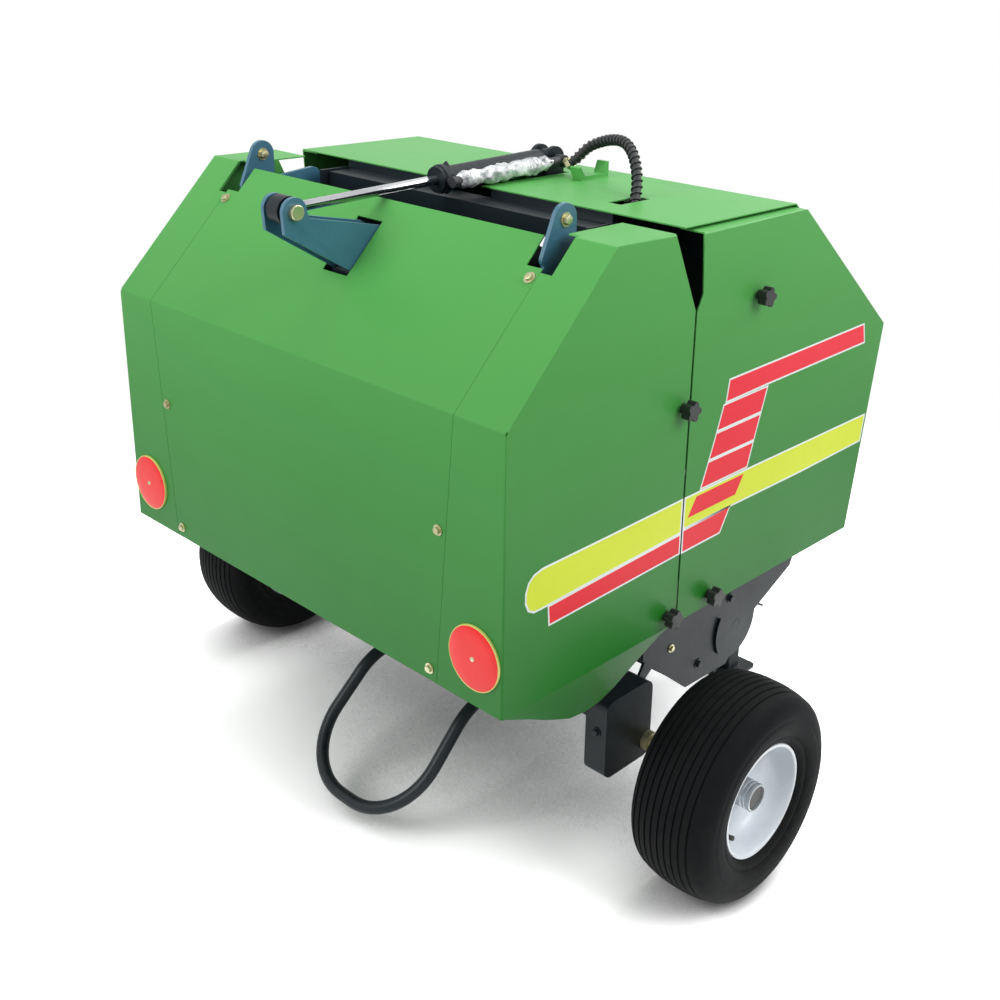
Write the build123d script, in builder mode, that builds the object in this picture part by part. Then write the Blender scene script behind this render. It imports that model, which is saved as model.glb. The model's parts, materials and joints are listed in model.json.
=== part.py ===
"""Small round baler for hay, carried on two wheels behind a compact tractor.

Frame: +X is forward, towards the tractor, +Y is to the left and +Z is up. The ground is at z = 0.
All sizes are millimetres. While drawing, x = 0 is the seam between the fixed front covers and the
tailgate; each piece is moved by middle_x as it is written, so x = 0 ends up midway along the machine.
"""
import math
import os

from build123d import *

os.makedirs("parts", exist_ok=True)

# Covers
body_width = 1060.0          # over both side covers
sheet = 2.5                  # cover sheet
seam_gap = 5.0               # open seam between the front covers and the tailgate
cover_bottom = 470.0         # lower edge of all covers
ridge_x = -434.0             # rear face of the tailgate
ridge_z = 943.0              # bend between the rear face and the rear slope
gate_top_x = -206.0          # bend between the rear slope and the gate's flat top
gate_top_z = 1180.0
gate_top_end = -66.0         # forward end of the gate's flat top
vee_z = 1045.0               # where the side seam opens into a vee
vee_bend = (16.0, 1070.0)    # bend in the front cover's rear edge
front_top_z = 1172.0
front_top_x0 = 8.0
front_top_x1 = 310.0         # bend between the roof and the front slope
nose = (638.0, 901.0)        # foremost bend of the front covers
front_foot_x = 575.0         # front covers' lower front corner
corner_strip = 110.0         # width of the side covers' folded corner strips
strip_flare = 39.0           # how much wider the rear strips are at their foot
lip = 25.0                   # how far a fold reaches under its neighbour
front_flange = 50.0          # folded edge of the front covers
bend_radius = 6.0            # outside radius of the folds
relief_hole = 4.0            # relief holes where the folds meet

# Bale chamber
chamber_x = -80.0
chamber_z = 680.0
chamber_width = 704.0        # between the side plates, for a 700 mm bale
plate = 6.0                  # side plates
skin_radius = 345.0
ring_radius = 295.0          # circle through the roller axes
roller_radius = 38.0
roller_rib = 5.0
roller_ribs = 8
roller_shaft = 12.5
shaft_clearance = 0.3
parting_x = -80.5            # parting line of the fixed and moving side plates
skin_width = 840.0           # the chamber's skin also closes the chain spaces below
front_roller_angles = (77.0, 49.0, 21.0, -7.0, -33.0, 275.0)
gate_roller_angles = (105.0, 133.0, 161.0, 189.0, 217.0, 245.0)

# Tailgate hinge and lever
hinge_x = -170.0
hinge_z = 1055.0
hinge_pin = 15.0
pin_clearance = 0.05
hinge_ear = 40.0
torque_tube = 25.0
frame_tube = 21.0
frame_tube_x = -283.0
frame_tube_z = 1056.0
lower_tube_x = -404.0
lower_tube_z = 498.0
arm_y = 400.0                # middle of the tailgate's two arm plates
arm = 8.0
arm_toe = 22.0               # rounded front end of the arm plates
lug_x = -184.0
lug_z = 1198.0
lug_radius = 26.0
lug_hole = 7.0
lever_x = -420.0             # lever pin
lever_z = 1180.0
lever_plate = 8.0
lever_gap = 44.0             # between the two lever plates
lever_pin = 8.0
lever_boss = 24.0

# Hydraulic cylinder
ear_x = 200.0                # pin of the barrel's front eye
ear_z = 1204.0
barrel_radius = 21.0
barrel_start = 330.0         # from the lever pin to the barrel's gland
rod_radius = 9.0
eye_width = 30.0
eye_radius = 24.0
eye_clearance = 9.5          # the rod's eye is slack on the lever pin
ear_pin = 9.0
ear_plate = 8.0
ear_gap = 30.0
line_radius = 10.0           # wrapped pressure line along the barrel
swivel_radius = 5.0          # swivel stem on the cylinder's pin axis
hose_radius = 8.0

# Frame
beam = 60.0
front_beam = 50.0
beam_wall = 4.0
top_beam_x = -30.0
top_beam_height = 32.0
barrel_clearance = 16.0      # between the cylinder's barrel and the top beam
roof_seat_z = 1176.0
pedestal_beam_x = ear_x
pedestal_height = 62.0       # pin above the pedestal's beam
pedestal_sink = 34.0         # the pedestal's beam lies this far below the roof, at least
front_beam_x = 585.0
front_beam_z = 855.0
foot_beam_x = 540.0
foot_beam_z = 505.0
roof_width = 1010.0
roof_notch = 68.0            # width of the cylinder's cut-out in the roof
hose_slot = (80.0, 30.0)     # length and width of the hose's slot in the roof

reflector_radius = 56.0
reflector_depth = 5.0
reflector_inset = 60.0       # from the cover's side face
reflector_z = 556.0
face_height = 180.0          # upper part of the front face that is closed
face_drop = 10.0             # its upper edge below the nose

# Running gear
wheel_x = 5.0
tyre_radius = 200.0
tyre_width = 172.0
wheel_y = 668.0              # middle of each tyre
rim_radius = 104.0
hub_radius = 26.0
hub_length = 118.0
axle_radius = 12.5
bearing_clearance = 0.05
carrier_y = 453.0
carrier_width = 50.0
carrier_length = 130.0
carrier_height = 160.0
carrier_bottom = 168.0
axle_beam = 50.0
axle_beam_x = -50.0
axle_beam_z = 275.0
hoop_radius = 15.0
hoop_width = 330.0
hoop_y = -60.0
hoop_bend = 110.0
hoop_knee = (-190.0, 232.0)
hoop_end = (-380.0, 42.0)

# Pickup
pickup_x = 330.0
pickup_z = 300.0
pickup_plate_y = 439.0
pickup_plate = 6.0
band_radius = 88.0
band_width = 40.0
band_sheet = 2.0
band_bar = 24.0              # square bars that carry the bands
band_top = (165.0, 374.0)
band_low = (150.0, 262.0)
tine_radius = 158.0
tine = 5.0
tine_bars = 4
tine_pitch = 62.0
tines_per_bar = 14
reel_tube = 22.0
reel_stub = 11.0
reel_disc = 78.0
reel_bar = 7.0
reel_bar_circle = 70.0

# Hitch, gearbox and drive shaft
link_y = 341.5               # lower link pins, category 1 spread
link_x = 715.0
link_z = 455.0
link_pin = 11.0
link_pin_length = 60.0
mast_x = 640.0
mast_gap = 54.0
mast_plate = 8.0
mast_boss = 23.0
top_link_z = 915.0
top_link_hole = 9.75
shaft_z = 640.0
shaft_x = 735.0
shaft_radius = 17.4
link_boss = 20.0
link_plate = 16.0
leg_x = 600.0
leg_y = -250.0
leg_socket = 45.0            # square socket tube of the parking leg
leg_wall = 3.0
leg_clearance = 0.5
gearbox_half = 85.0          # half width of the gearbox housing
post_y = 150.0               # front posts
post_width = 40.0


def across(y):
    """Drawing plane with x forward and z up, at this y. Extrusions go towards -y."""
    return Plane.XZ.offset(-y)


def folded(points, thickness):
    """Closed outline of a sheet folded along these points, its thickness on the right-hand side."""
    inner = []
    for i, (x, z) in enumerate(points):
        before = points[max(i - 1, 0)]
        after = points[min(i + 1, len(points) - 1)]
        a = Vector(x - before[0], z - before[1]) if i else Vector(after[0] - x, after[1] - z)
        b = Vector(after[0] - x, after[1] - z) if i < len(points) - 1 else a
        normal_a = Vector(a.Y, -a.X).normalized()
        normal_b = Vector(b.Y, -b.X).normalized()
        middle = (normal_a + normal_b).normalized()
        reach = thickness / middle.dot(normal_a)
        inner.append((x + middle.X * reach, z + middle.Y * reach))
    return list(points) + inner[::-1]


def folded_face(points, radius):
    """Sketch of a sheet folded along these points, its bends of this outside radius."""
    loop = folded(points, sheet)
    bends = ((loop[1:len(points) - 1], radius), (loop[len(points) + 1:-1], radius - sheet))
    with BuildSketch() as face:
        Polygon(*loop, align=None)
        for corners, size in bends:
            fillet(corners_at(face, corners), size)
    return face.sketch


def corners_at(sketch, points):
    """The sketch's vertices that lie at these points."""
    return [v for v in sketch.vertices() if any(math.hypot(v.X - x, v.Y - z) < 0.01 for x, z in points)]


def ring_point(angle, radius=ring_radius):
    """Point on a circle about the bale chamber's axis."""
    turn = math.radians(angle)
    return chamber_x + radius * math.cos(turn), chamber_z + radius * math.sin(turn)


rear_most = lever_x - lever_boss
front_most = max(shaft_x, link_x + link_boss)
middle_x = (rear_most + front_most) / 2


def save(shape, name):
    """Move one finished piece so the machine's middle is at x = 0, label it and write it."""
    moved = shape.moved(Location((-middle_x, 0, 0)))
    moved.label = name
    export_step(moved, f"parts/{name}.step")


half_width = body_width / 2
half_chamber = chamber_width / 2
gate_edge = -seam_gap / 2
front_edge = seam_gap / 2

# Tailgate side covers, each with its folded corner strips
gate_outline = [
    (gate_edge, cover_bottom),
    (ridge_x, cover_bottom),
    (ridge_x, ridge_z),
    (gate_top_x, gate_top_z),
    (gate_top_end, gate_top_z),
    (gate_edge, vee_z),
]
gate_fold = gate_outline[1:5]
fold_inside = folded(gate_fold, sheet)[4:][::-1]
seam_top = half_width - corner_strip
seam_foot = seam_top - strip_flare
panel_gap = 0.5              # between the strips and the centre panel

# Slope plane: local x runs to the left, local y runs up the slope from the ridge
panel_half = seam_top - panel_gap
slope_length = math.hypot(gate_top_x - ridge_x, gate_top_z - ridge_z)
slope_x = Vector(gate_top_x - ridge_x, 0, gate_top_z - ridge_z).normalized()
slope_plane = Plane(origin=(ridge_x, 0, ridge_z), x_dir=(0, 1, 0), z_dir=Vector(0, 1, 0).cross(slope_x))
slot_width = 66.0
slot_length = 115.0
slot_high = slope_length - 52
slot_low = slot_high - slot_length
panel_trim = 8.0             # the panel stops short of the slope's upper bend
notch_width = 34.0
notch_depth = 62.0


def corner_fold(path, radius, outer, reach):
    """Folded strip of the right corner. Its free edge follows the seam, moved in by reach."""
    edge_top = reach - seam_top
    edge_foot = reach - seam_foot
    with BuildPart() as strip:
        with BuildSketch(across(edge_foot)):
            add(folded_face(path, radius))
        extrude(amount=outer + edge_foot)
        with BuildSketch(Plane.YZ.offset(ridge_x - sheet)):
            Polygon(
                (edge_top, gate_top_z + sheet),
                (edge_top, ridge_z),
                (edge_foot, cover_bottom),
                (edge_foot + sheet, cover_bottom),
                (edge_foot + sheet, gate_top_z + sheet),
                align=None,
            )
        extrude(amount=gate_edge - ridge_x, mode=Mode.SUBTRACT)
    return strip.part


gate_strip = corner_fold(gate_fold, bend_radius, half_width - sheet / 2, 0)
gate_lip = corner_fold(fold_inside[:3], bend_radius - sheet, seam_top + lip, lip)
with BuildPart() as gate_side_right:
    with BuildSketch(across(-half_width + sheet)) as side_sheet:
        Polygon(*gate_outline, align=None)
        fillet(corners_at(side_sheet, gate_fold[1:3]), bend_radius)
    extrude(amount=sheet)
    add(gate_strip)
    # joggled lip that reaches under the centre panel
    add(gate_lip)
    with BuildSketch(across(-half_width + sheet)):
        with Locations((ridge_x, ridge_z)):
            Circle(relief_hole)
    extrude(amount=sheet, mode=Mode.SUBTRACT)
    # the lip stops short of the arm plate's notch
    with BuildSketch(slope_plane):
        with Locations((-panel_half + notch_width / 2, slope_length - notch_depth / 2)):
            Rectangle(notch_width + 2 * lip, notch_depth + 8 * sheet)
    extrude(amount=4 * sheet, both=True, mode=Mode.SUBTRACT)
save(gate_side_right.part, "gate_side_right")

with BuildPart() as gate_side_left:
    mirror(gate_side_right.part, about=Plane.XZ)
save(gate_side_left.part, "gate_side_left")

# Tailgate centre panel, bent at the ridge, with the lever slot and two notches for the arms
with BuildPart() as gate_panel:
    with BuildSketch(across(panel_half)):
        add(folded_face(gate_fold[:3], bend_radius))
    extrude(amount=2 * panel_half)
    # the rear face narrows towards its foot
    with BuildSketch(Plane.YZ.offset(ridge_x - sheet)):
        for side in (-1, 1):
            Polygon(
                (side * panel_half, ridge_z),
                (side * panel_half, cover_bottom),
                (side * (seam_foot - panel_gap), cover_bottom),
                align=None,
            )
    extrude(amount=4 * sheet, mode=Mode.SUBTRACT)
    with BuildSketch(slope_plane):
        with Locations((0, (slot_low + slot_high) / 2)):
            Rectangle(slot_width, slot_high - slot_low)
        with Locations((0, slope_length)):
            Rectangle(2 * panel_half + 10, 2 * panel_trim)
        for side in (-1, 1):
            with Locations((side * (panel_half - notch_width / 2), slope_length - notch_depth / 2)):
                Rectangle(notch_width, notch_depth + 2 * sheet)
    extrude(amount=4 * sheet, both=True, mode=Mode.SUBTRACT)
save(gate_panel.part, "gate_panel")

# Tailgate frame: two side plates with hinge ears, joined by the torque tube and two cross tubes
gate_parting = parting_x - seam_gap / 2
tube_boss = frame_tube + 5


with BuildPart() as gate_frame:
    for top_face in (-half_chamber, half_chamber + plate):
        with BuildSketch(across(top_face)):
            with Locations((chamber_x, chamber_z)):
                Circle(skin_radius)
            with Locations((gate_parting + skin_radius, chamber_z)):
                Rectangle(2 * skin_radius, 4 * skin_radius, mode=Mode.SUBTRACT)
        extrude(amount=plate)
        with BuildSketch(across(top_face)):
            with Locations((hinge_x, hinge_z), (gate_parting - hinge_ear, hinge_z - 130)):
                Circle(hinge_ear)
            with Locations((frame_tube_x, frame_tube_z), (frame_tube_x, frame_tube_z - 160)):
                Circle(tube_boss)
            make_hull()
        extrude(amount=plate)
        # lower rear corner that carries the lower cross tube
        with BuildSketch(across(top_face)):
            with Locations((lower_tube_x, lower_tube_z), (chamber_x - 260, chamber_z), (chamber_x - 110, 420)):
                Circle(frame_tube + 3)
            make_hull()
        extrude(amount=plate)
    with BuildSketch(across(half_chamber)):
        with Locations((hinge_x, hinge_z)):
            Circle(torque_tube)
    extrude(amount=chamber_width)
    with BuildSketch(across(half_width - sheet)):
        with Locations((frame_tube_x, frame_tube_z), (lower_tube_x, lower_tube_z)):
            Circle(frame_tube)
    extrude(amount=body_width - 2 * sheet)
    # bores for the hinge pins and the roller shafts
    with BuildSketch(across(half_width)):
        with Locations((hinge_x, hinge_z)):
            Circle(hinge_pin + pin_clearance)
        with Locations(*[ring_point(a) for a in gate_roller_angles]):
            Circle(roller_shaft + shaft_clearance)
    extrude(amount=half_width - half_chamber + 40, mode=Mode.SUBTRACT)
    with BuildSketch(across(-half_chamber + 40)):
        with Locations((hinge_x, hinge_z)):
            Circle(hinge_pin + pin_clearance)
        with Locations(*[ring_point(a) for a in gate_roller_angles]):
            Circle(roller_shaft + shaft_clearance)
    extrude(amount=half_width - half_chamber + 40, mode=Mode.SUBTRACT)
save(gate_frame.part, "gate_frame")

# Two arm plates whose rounded lugs stand up through the notches
with BuildPart() as gate_arms:
    for top_face in (-arm_y + arm / 2, arm_y + arm / 2):
        with BuildSketch(across(top_face)):
            with Locations((lug_x, lug_z), (lug_x, lug_z - 60)):
                Circle(lug_radius)
            with Locations((lug_x - 38, lug_z - 58)):
                Circle(lug_radius / 2)
            make_hull()
        extrude(amount=arm)
        with BuildSketch(across(top_face)):
            with Locations((frame_tube_x, frame_tube_z), (lug_x - 14, lug_z - 76)):
                Circle(frame_tube + 4)
            with Locations((gate_top_end - 2, gate_top_z - 40)):
                Circle(arm_toe)
            make_hull()
        extrude(amount=arm)
        with BuildSketch(across(top_face)):
            with Locations((lug_x, lug_z)):
                Circle(lug_hole)
            with Locations((frame_tube_x, frame_tube_z)):
                Circle(frame_tube + shaft_clearance)
        extrude(amount=arm, mode=Mode.SUBTRACT)
save(gate_arms.part, "gate_arms")

# Lever: two plates on the torque tube and the cross tube, with the cylinder's pin
lever_faces = (lever_gap / 2 + lever_plate, -lever_gap / 2)
lever_outline = [
    (lever_x - lever_boss, lever_z),
    (lever_x - 21, lever_z - 35),
    (-305, 1062),
    (-262, 1026),
    (-158, 1030),
    (-148, 1078),
    (-245, 1136),
    (lever_x + 30, lever_z - 14),
    (lever_x + 14, lever_z + 19),
]
with BuildPart() as gate_lever:
    for top_face in lever_faces:
        with BuildSketch(across(top_face)):
            Polygon(*lever_outline, align=None)
            with Locations((lever_x, lever_z)):
                Circle(lever_boss)
            with Locations((hinge_x, hinge_z)):
                Circle(torque_tube + shaft_clearance, mode=Mode.SUBTRACT)
            with Locations((frame_tube_x, frame_tube_z)):
                Circle(frame_tube + shaft_clearance, mode=Mode.SUBTRACT)
        extrude(amount=lever_plate)
    with BuildSketch(across(lever_faces[0] + 6)):
        with Locations((lever_x, lever_z)):
            Circle(lever_pin)
    extrude(amount=lever_gap + 2 * lever_plate + 12)
    with BuildSketch(across(lever_faces[1] - lever_plate)):
        with Locations((lever_x, lever_z)):
            Circle(lever_pin * 1.5)
    extrude(amount=5)
save(gate_lever.part, "gate_lever")


def roller(angle):
    """Ribbed steel roller of the bale chamber, with its shaft ends."""
    x, z = ring_point(angle)
    with BuildPart() as one:
        with BuildSketch(across(half_chamber - 3)):
            with Locations((x, z)):
                Circle(roller_radius - roller_rib)
                with PolarLocations(roller_radius - roller_rib, roller_ribs):
                    Rectangle(2 * roller_rib, roller_rib)
        extrude(amount=chamber_width - 6)
        with BuildSketch(across(half_chamber + plate + 8)):
            with Locations((x, z)):
                Circle(roller_shaft)
        extrude(amount=chamber_width + 2 * plate + 16)
    return one.part


gate_roller_set = [roller(angle) for angle in gate_roller_angles]
front_roller_set = [roller(angle) for angle in front_roller_angles]

with BuildPart() as gate_rollers:
    add(gate_roller_set)
save(gate_rollers.part, "gate_rollers")

with BuildPart() as front_rollers:
    add(front_roller_set)
save(front_rollers.part, "front_rollers")


def skin_sector(y_start, length, angle_from, angle_to):
    """Curved skin below the chamber, between two angles about its axis."""
    with BuildPart() as one:
        with BuildSketch(across(y_start)):
            with BuildLine():
                CenterArc((chamber_x, chamber_z), skin_radius, angle_from, angle_to - angle_from)
                Line(ring_point(angle_to, skin_radius), ring_point(angle_to, skin_radius + sheet))
                CenterArc((chamber_x, chamber_z), skin_radius + sheet, angle_from, angle_to - angle_from)
                Line(ring_point(angle_from, skin_radius), ring_point(angle_from, skin_radius + sheet))
            make_face()
        extrude(amount=length)
    return one.part


skin_half = skin_width / 2
plate_outside = half_chamber + plate
gate_skin = skin_sector(skin_half, skin_width, 229, 268.6)
save(gate_skin, "gate_skin")

front_skin_parts = [
    skin_sector(half_chamber, chamber_width, 271, 300),
    skin_sector(-plate_outside, skin_half - plate_outside, 271, 300),
    skin_sector(skin_half, skin_half - plate_outside, 271, 300),
]
with BuildPart() as front_skin:
    add(front_skin_parts)
save(front_skin.part, "front_skin")

# Front covers
cover_outline = [
    (front_edge, cover_bottom),
    (front_edge, vee_z - 3),
    vee_bend,
    (front_top_x0, front_top_z),
    (front_top_x1, front_top_z),
    nose,
    (front_foot_x, cover_bottom),
]
with BuildPart() as front_cover_right:
    with BuildSketch(across(-half_width + sheet)) as side_sheet:
        Polygon(*cover_outline, align=None)
        fillet(corners_at(side_sheet, cover_outline[4:6]), bend_radius)
    extrude(amount=sheet)
    with BuildSketch(across(-half_width + front_flange)):
        add(folded_face(cover_outline[3:], bend_radius))
    extrude(amount=front_flange - sheet / 2)
save(front_cover_right.part, "front_cover_right")

with BuildPart() as front_cover_left:
    mirror(front_cover_right.part, about=Plane.XZ)
save(front_cover_left.part, "front_cover_left")

# Route of the hydraulic hose: from the pedestal's elbow over to the slot in the roof
hose_route = [
    (200, -66, 1204),
    (203, -78, 1214),
    (208, -100, 1238),
    (206, -132, 1251),
    (196, -170, 1261),
    (178, -215, 1264),
    (160, -250, 1250),
    (143, -275, 1222),
    (125, -292, 1192),
    (105, -302, 1165),
    (95, -306, 1130),
]
hose_entry = (93.0, -300.0)

# Roof sheet over the front covers, bent down the front slope, with the cylinder's cut-out
roof_rear = -10.0
slope_run = (nose[0] - front_top_x1) / (front_top_z - nose[1])
roof_gap = 4.0               # the roof's slope above the covers' flanges
roof_path = [
    (roof_rear, roof_seat_z + sheet),
    (front_top_x1 + 2, roof_seat_z + sheet),
    (nose[0] - 30, nose[1] + 30 / slope_run + roof_gap + sheet),
]
roof_notch_end = ear_x + 28
roof_top = roof_seat_z + sheet
roof_bracket_y = -92.0
roof_bracket_width = 24.0
roof_bracket = [
    (176, roof_top),
    (252, roof_top),
    (252, roof_top + 30),
    (244, roof_top + 30),
    (236, roof_top + 8),
    (184, roof_top + 8),
    (172, roof_top + 26),
    (166, roof_top + 24),
]
with BuildPart() as front_roof:
    with BuildSketch(across(roof_width / 2)):
        add(folded_face(roof_path, bend_radius))
    extrude(amount=roof_width)
    with BuildSketch(Plane.XY.offset(roof_seat_z - 80)):
        with Locations((roof_notch_end - 200, 0)):
            Rectangle(400, roof_notch)
        with Locations((hose_entry[0], hose_entry[1])):
            Rectangle(*hose_slot)
    extrude(amount=160, mode=Mode.SUBTRACT)
    # small upright bracket beside the cut-out
    with BuildSketch(across(roof_bracket_y)):
        Polygon(*roof_bracket, align=None)
    extrude(amount=roof_bracket_width)
save(front_roof.part, "front_roof")

# Front face between the side covers, open in the middle for the gearbox
face_dir = Vector(front_foot_x - nose[0], cover_bottom - nose[1]).normalized()
face_inward = Vector(face_dir.Y, -face_dir.X)
face_start = Vector(*nose) + face_dir * face_drop + face_inward * sheet
face_end = face_start + face_dir * face_height
face_width = body_width - 60
with BuildPart() as front_panel:
    with BuildSketch(across(face_width / 2)):
        Polygon(*folded([(face_start.X, face_start.Y), (face_end.X, face_end.Y)], sheet), align=None)
    extrude(amount=face_width)
    with BuildSketch(Plane.YZ.offset(nose[0] - 60)):
        with Locations((0, nose[1])):
            Rectangle(2 * (mast_gap / 2 + mast_plate + 4), 100)
    extrude(amount=120, mode=Mode.SUBTRACT)
save(front_panel.part, "front_panel")

# Fixed side plates of the chamber, with hinge arms that hold the gate's pins
plate_edge = parting_x + seam_gap / 2
side_outline = [
    (plate_edge, axle_beam_z + axle_beam / 2),
    (axle_beam_x + axle_beam / 2, axle_beam_z + axle_beam / 2),
    (axle_beam_x + axle_beam / 2, 338),
    (chamber_x + 172, 381),
    (foot_beam_x + 45, 440),
    (nose[0] - 30, nose[1] - 25),
    (front_top_x1 + 20, roof_seat_z - 70),
    (front_top_x1 - 40, roof_seat_z - 14),
    (plate_edge, roof_seat_z - 14),
]
hinge_arm_y = half_chamber + plate + 3
with BuildPart() as chamber_plates:
    for top_face in (-half_chamber, half_chamber + plate):
        with BuildSketch(across(top_face)):
            Polygon(*side_outline, align=None)
            with Locations(*[ring_point(a) for a in front_roller_angles]):
                Circle(roller_shaft + shaft_clearance, mode=Mode.SUBTRACT)
        extrude(amount=plate)
    for side in (-1, 1):
        outer = side * (half_chamber + plate)
        start = outer if side < 0 else outer + 3
        with BuildSketch(across(start)):
            with Locations((plate_edge + 45, hinge_z)):
                Rectangle(80, 80)
        extrude(amount=3)
        start = side * hinge_arm_y if side < 0 else side * hinge_arm_y + plate
        with BuildSketch(across(start)):
            with Locations((plate_edge + 65, hinge_z), (hinge_x, hinge_z)):
                Circle(hinge_ear)
            make_hull()
        extrude(amount=plate)
        start = side * (half_chamber - 20) if side < 0 else side * (hinge_arm_y + plate)
        with BuildSketch(across(start)):
            with Locations((hinge_x, hinge_z)):
                Circle(hinge_pin)
        extrude(amount=hinge_arm_y + plate - half_chamber + 20)
save(chamber_plates.part, "chamber_plates")


def barrel_under(x):
    """Underside of the cylinder's barrel at this x."""
    return lever_z + (ear_z - lever_z) * (x - lever_x) / (ear_x - lever_x) - barrel_radius


def box_beam(x, z, width, height, start, length):
    """Rectangular tube across the machine."""
    with BuildPart() as one:
        with BuildSketch(across(start)):
            with Locations((x, z)):
                Rectangle(width, height)
                Rectangle(width - 2 * beam_wall, height - 2 * beam_wall, mode=Mode.SUBTRACT)
        extrude(amount=length)
    return one.part


top_beam_top = min(barrel_under(top_beam_x), roof_seat_z) - barrel_clearance
pedestal_beam_z = min(ear_z - pedestal_height, roof_seat_z - pedestal_sink)
beam_table = (  # x, z of the middle, width, height
    (top_beam_x, top_beam_top - top_beam_height / 2, beam, top_beam_height),
    (pedestal_beam_x, pedestal_beam_z - beam / 2, beam, beam),
    (front_beam_x, front_beam_z, front_beam, front_beam),
    (foot_beam_x, foot_beam_z, front_beam, front_beam),
)
outer_end = half_width - sheet
beam_parts = [box_beam(*row, half_chamber, chamber_width) for row in beam_table]
beam_parts += [box_beam(*row, outer_end, outer_end - plate_outside) for row in beam_table[1:]]
beam_parts += [box_beam(*row, -plate_outside, outer_end - plate_outside) for row in beam_table[1:]]
seat_bar = (50.0, roof_seat_z - top_beam_top)
seat_inner = 60.0
with BuildPart() as cross_beams:
    add(beam_parts)
    # two bars on the top beam that carry the roof's rear edge
    for start in (half_chamber, -seat_inner):
        with BuildSketch(across(start)):
            with Locations((roof_rear + seat_bar[0] / 2, top_beam_top + seat_bar[1] / 2)):
                Rectangle(*seat_bar)
        extrude(amount=half_chamber - seat_inner)
save(cross_beams.part, "cross_beams")

# Axle beam with a carrier block at each end
carrier_inner = carrier_y - carrier_width / 2
axle_tube = box_beam(axle_beam_x, axle_beam_z, axle_beam, axle_beam, carrier_inner, 2 * carrier_inner)
with BuildPart() as axle_frame:
    add(axle_tube)
    for side in (-1, 1):
        with BuildSketch(across(side * carrier_y + carrier_width / 2)):
            with Locations((axle_beam_x, carrier_bottom + carrier_height / 2)):
                RectangleRounded(carrier_length, carrier_height, 20)
            with Locations((wheel_x, tyre_radius)):
                Circle(axle_radius + pin_clearance, mode=Mode.SUBTRACT)
        extrude(amount=carrier_width)
save(axle_frame.part, "axle_frame")

axle_length = wheel_y + hub_length / 2 - 8 - carrier_inner
with BuildPart() as axle_stubs:
    for side in (-1, 1):
        start = -carrier_inner if side < 0 else carrier_inner + axle_length
        with BuildSketch(across(start)):
            with Locations((wheel_x, tyre_radius)):
                Circle(axle_radius)
        extrude(amount=axle_length)
        collar = -carrier_inner - carrier_width if side < 0 else carrier_inner + carrier_width + 14
        with BuildSketch(across(collar)):
            with Locations((wheel_x, tyre_radius)):
                Circle(axle_radius + 7)
        extrude(amount=14)
save(axle_stubs.part, "axle_stubs")

# Wheels
tyre_half = tyre_width / 2


def wheel_plane(side):
    """Drawing plane through the wheel's axis: local x is the radius, local y points outwards."""
    return Plane(origin=(wheel_x, side * wheel_y, tyre_radius), x_dir=(1, 0, 0), z_dir=(0, 0, side))


def wheel_axis(side):
    return Axis((wheel_x, side * wheel_y, tyre_radius), (0, 1, 0))


# One half of the tyre's section: how far inside the tread, how far inside the side wall
tread_half = [(0, 52), (1.5, 34), (6, 20), (16, 8), (32, 1.5), (50, 0), (68, 2), (82, 8)]
tyre_edge = [(tyre_radius - drop, tyre_half - inset) for drop, inset in tread_half]
tyre_edge.append((rim_radius, tyre_half - 20))
tyre_section = tyre_edge + [(radius, -offset) for radius, offset in reversed(tyre_edge)]

for name, side in (("right", -1), ("left", 1)):
    with BuildPart() as tyre:
        with BuildSketch(wheel_plane(side)):
            Polygon(*tyre_section, align=None)
        revolve(axis=wheel_axis(side))
    save(tyre.part, f"tyre_{name}")

    with BuildPart() as rim:
        with BuildSketch(wheel_plane(side)):
            with BuildLine():
                Polyline(
                    (rim_radius, -tyre_half + 20),
                    (rim_radius, tyre_half - 22),
                    (rim_radius - 4, tyre_half - 22),
                    (rim_radius - 6, 22),
                    (rim_radius - 20, 6),
                    (hub_radius + 12, 14),
                    (hub_radius, 14),
                    (hub_radius, hub_length / 2),
                    (axle_radius + bearing_clearance, hub_length / 2),
                    (axle_radius + bearing_clearance, -hub_length / 2),
                    (hub_radius, -hub_length / 2),
                    (hub_radius, 10),
                    (hub_radius + 12, 10),
                    (rim_radius - 22, 2),
                    (rim_radius - 9, 14),
                    (rim_radius - 4, 8),
                    (rim_radius - 4, -tyre_half + 20),
                    close=True,
                )
            make_face()
        revolve(axis=wheel_axis(side))
    save(rim.part, f"rim_{name}")

# Bale hoop: a bent round bar behind the axle beam that the finished bale rolls over
hoop_half = hoop_width / 2
with BuildPart() as bale_hoop:
    with BuildLine() as hoop_line:
        FilletPolyline(
            (axle_beam_x - 5, hoop_y + hoop_half - 20, axle_beam_z - axle_beam / 2 - hoop_radius),
            (hoop_knee[0], hoop_y + hoop_half - 10, hoop_knee[1]),
            (hoop_end[0], hoop_y + hoop_half, hoop_end[1]),
            (hoop_end[0], hoop_y - hoop_half, hoop_end[1]),
            (hoop_knee[0], hoop_y - hoop_half + 10, hoop_knee[1]),
            (axle_beam_x - 5, hoop_y - hoop_half + 20, axle_beam_z - axle_beam / 2 - hoop_radius),
            radius=hoop_bend,
        )
    with BuildSketch(Plane(origin=hoop_line.line @ 0, z_dir=hoop_line.line % 0)):
        Circle(hoop_radius)
    sweep()
save(bale_hoop.part, "bale_hoop")

# Cylinder: barrel on its pedestal, rod reaching back to the lever
cylinder_length = math.hypot(ear_x - lever_x, ear_z - lever_z)
cylinder_dir = Vector(ear_x - lever_x, 0, ear_z - lever_z).normalized()
barrel_end = cylinder_length - 26


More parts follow.
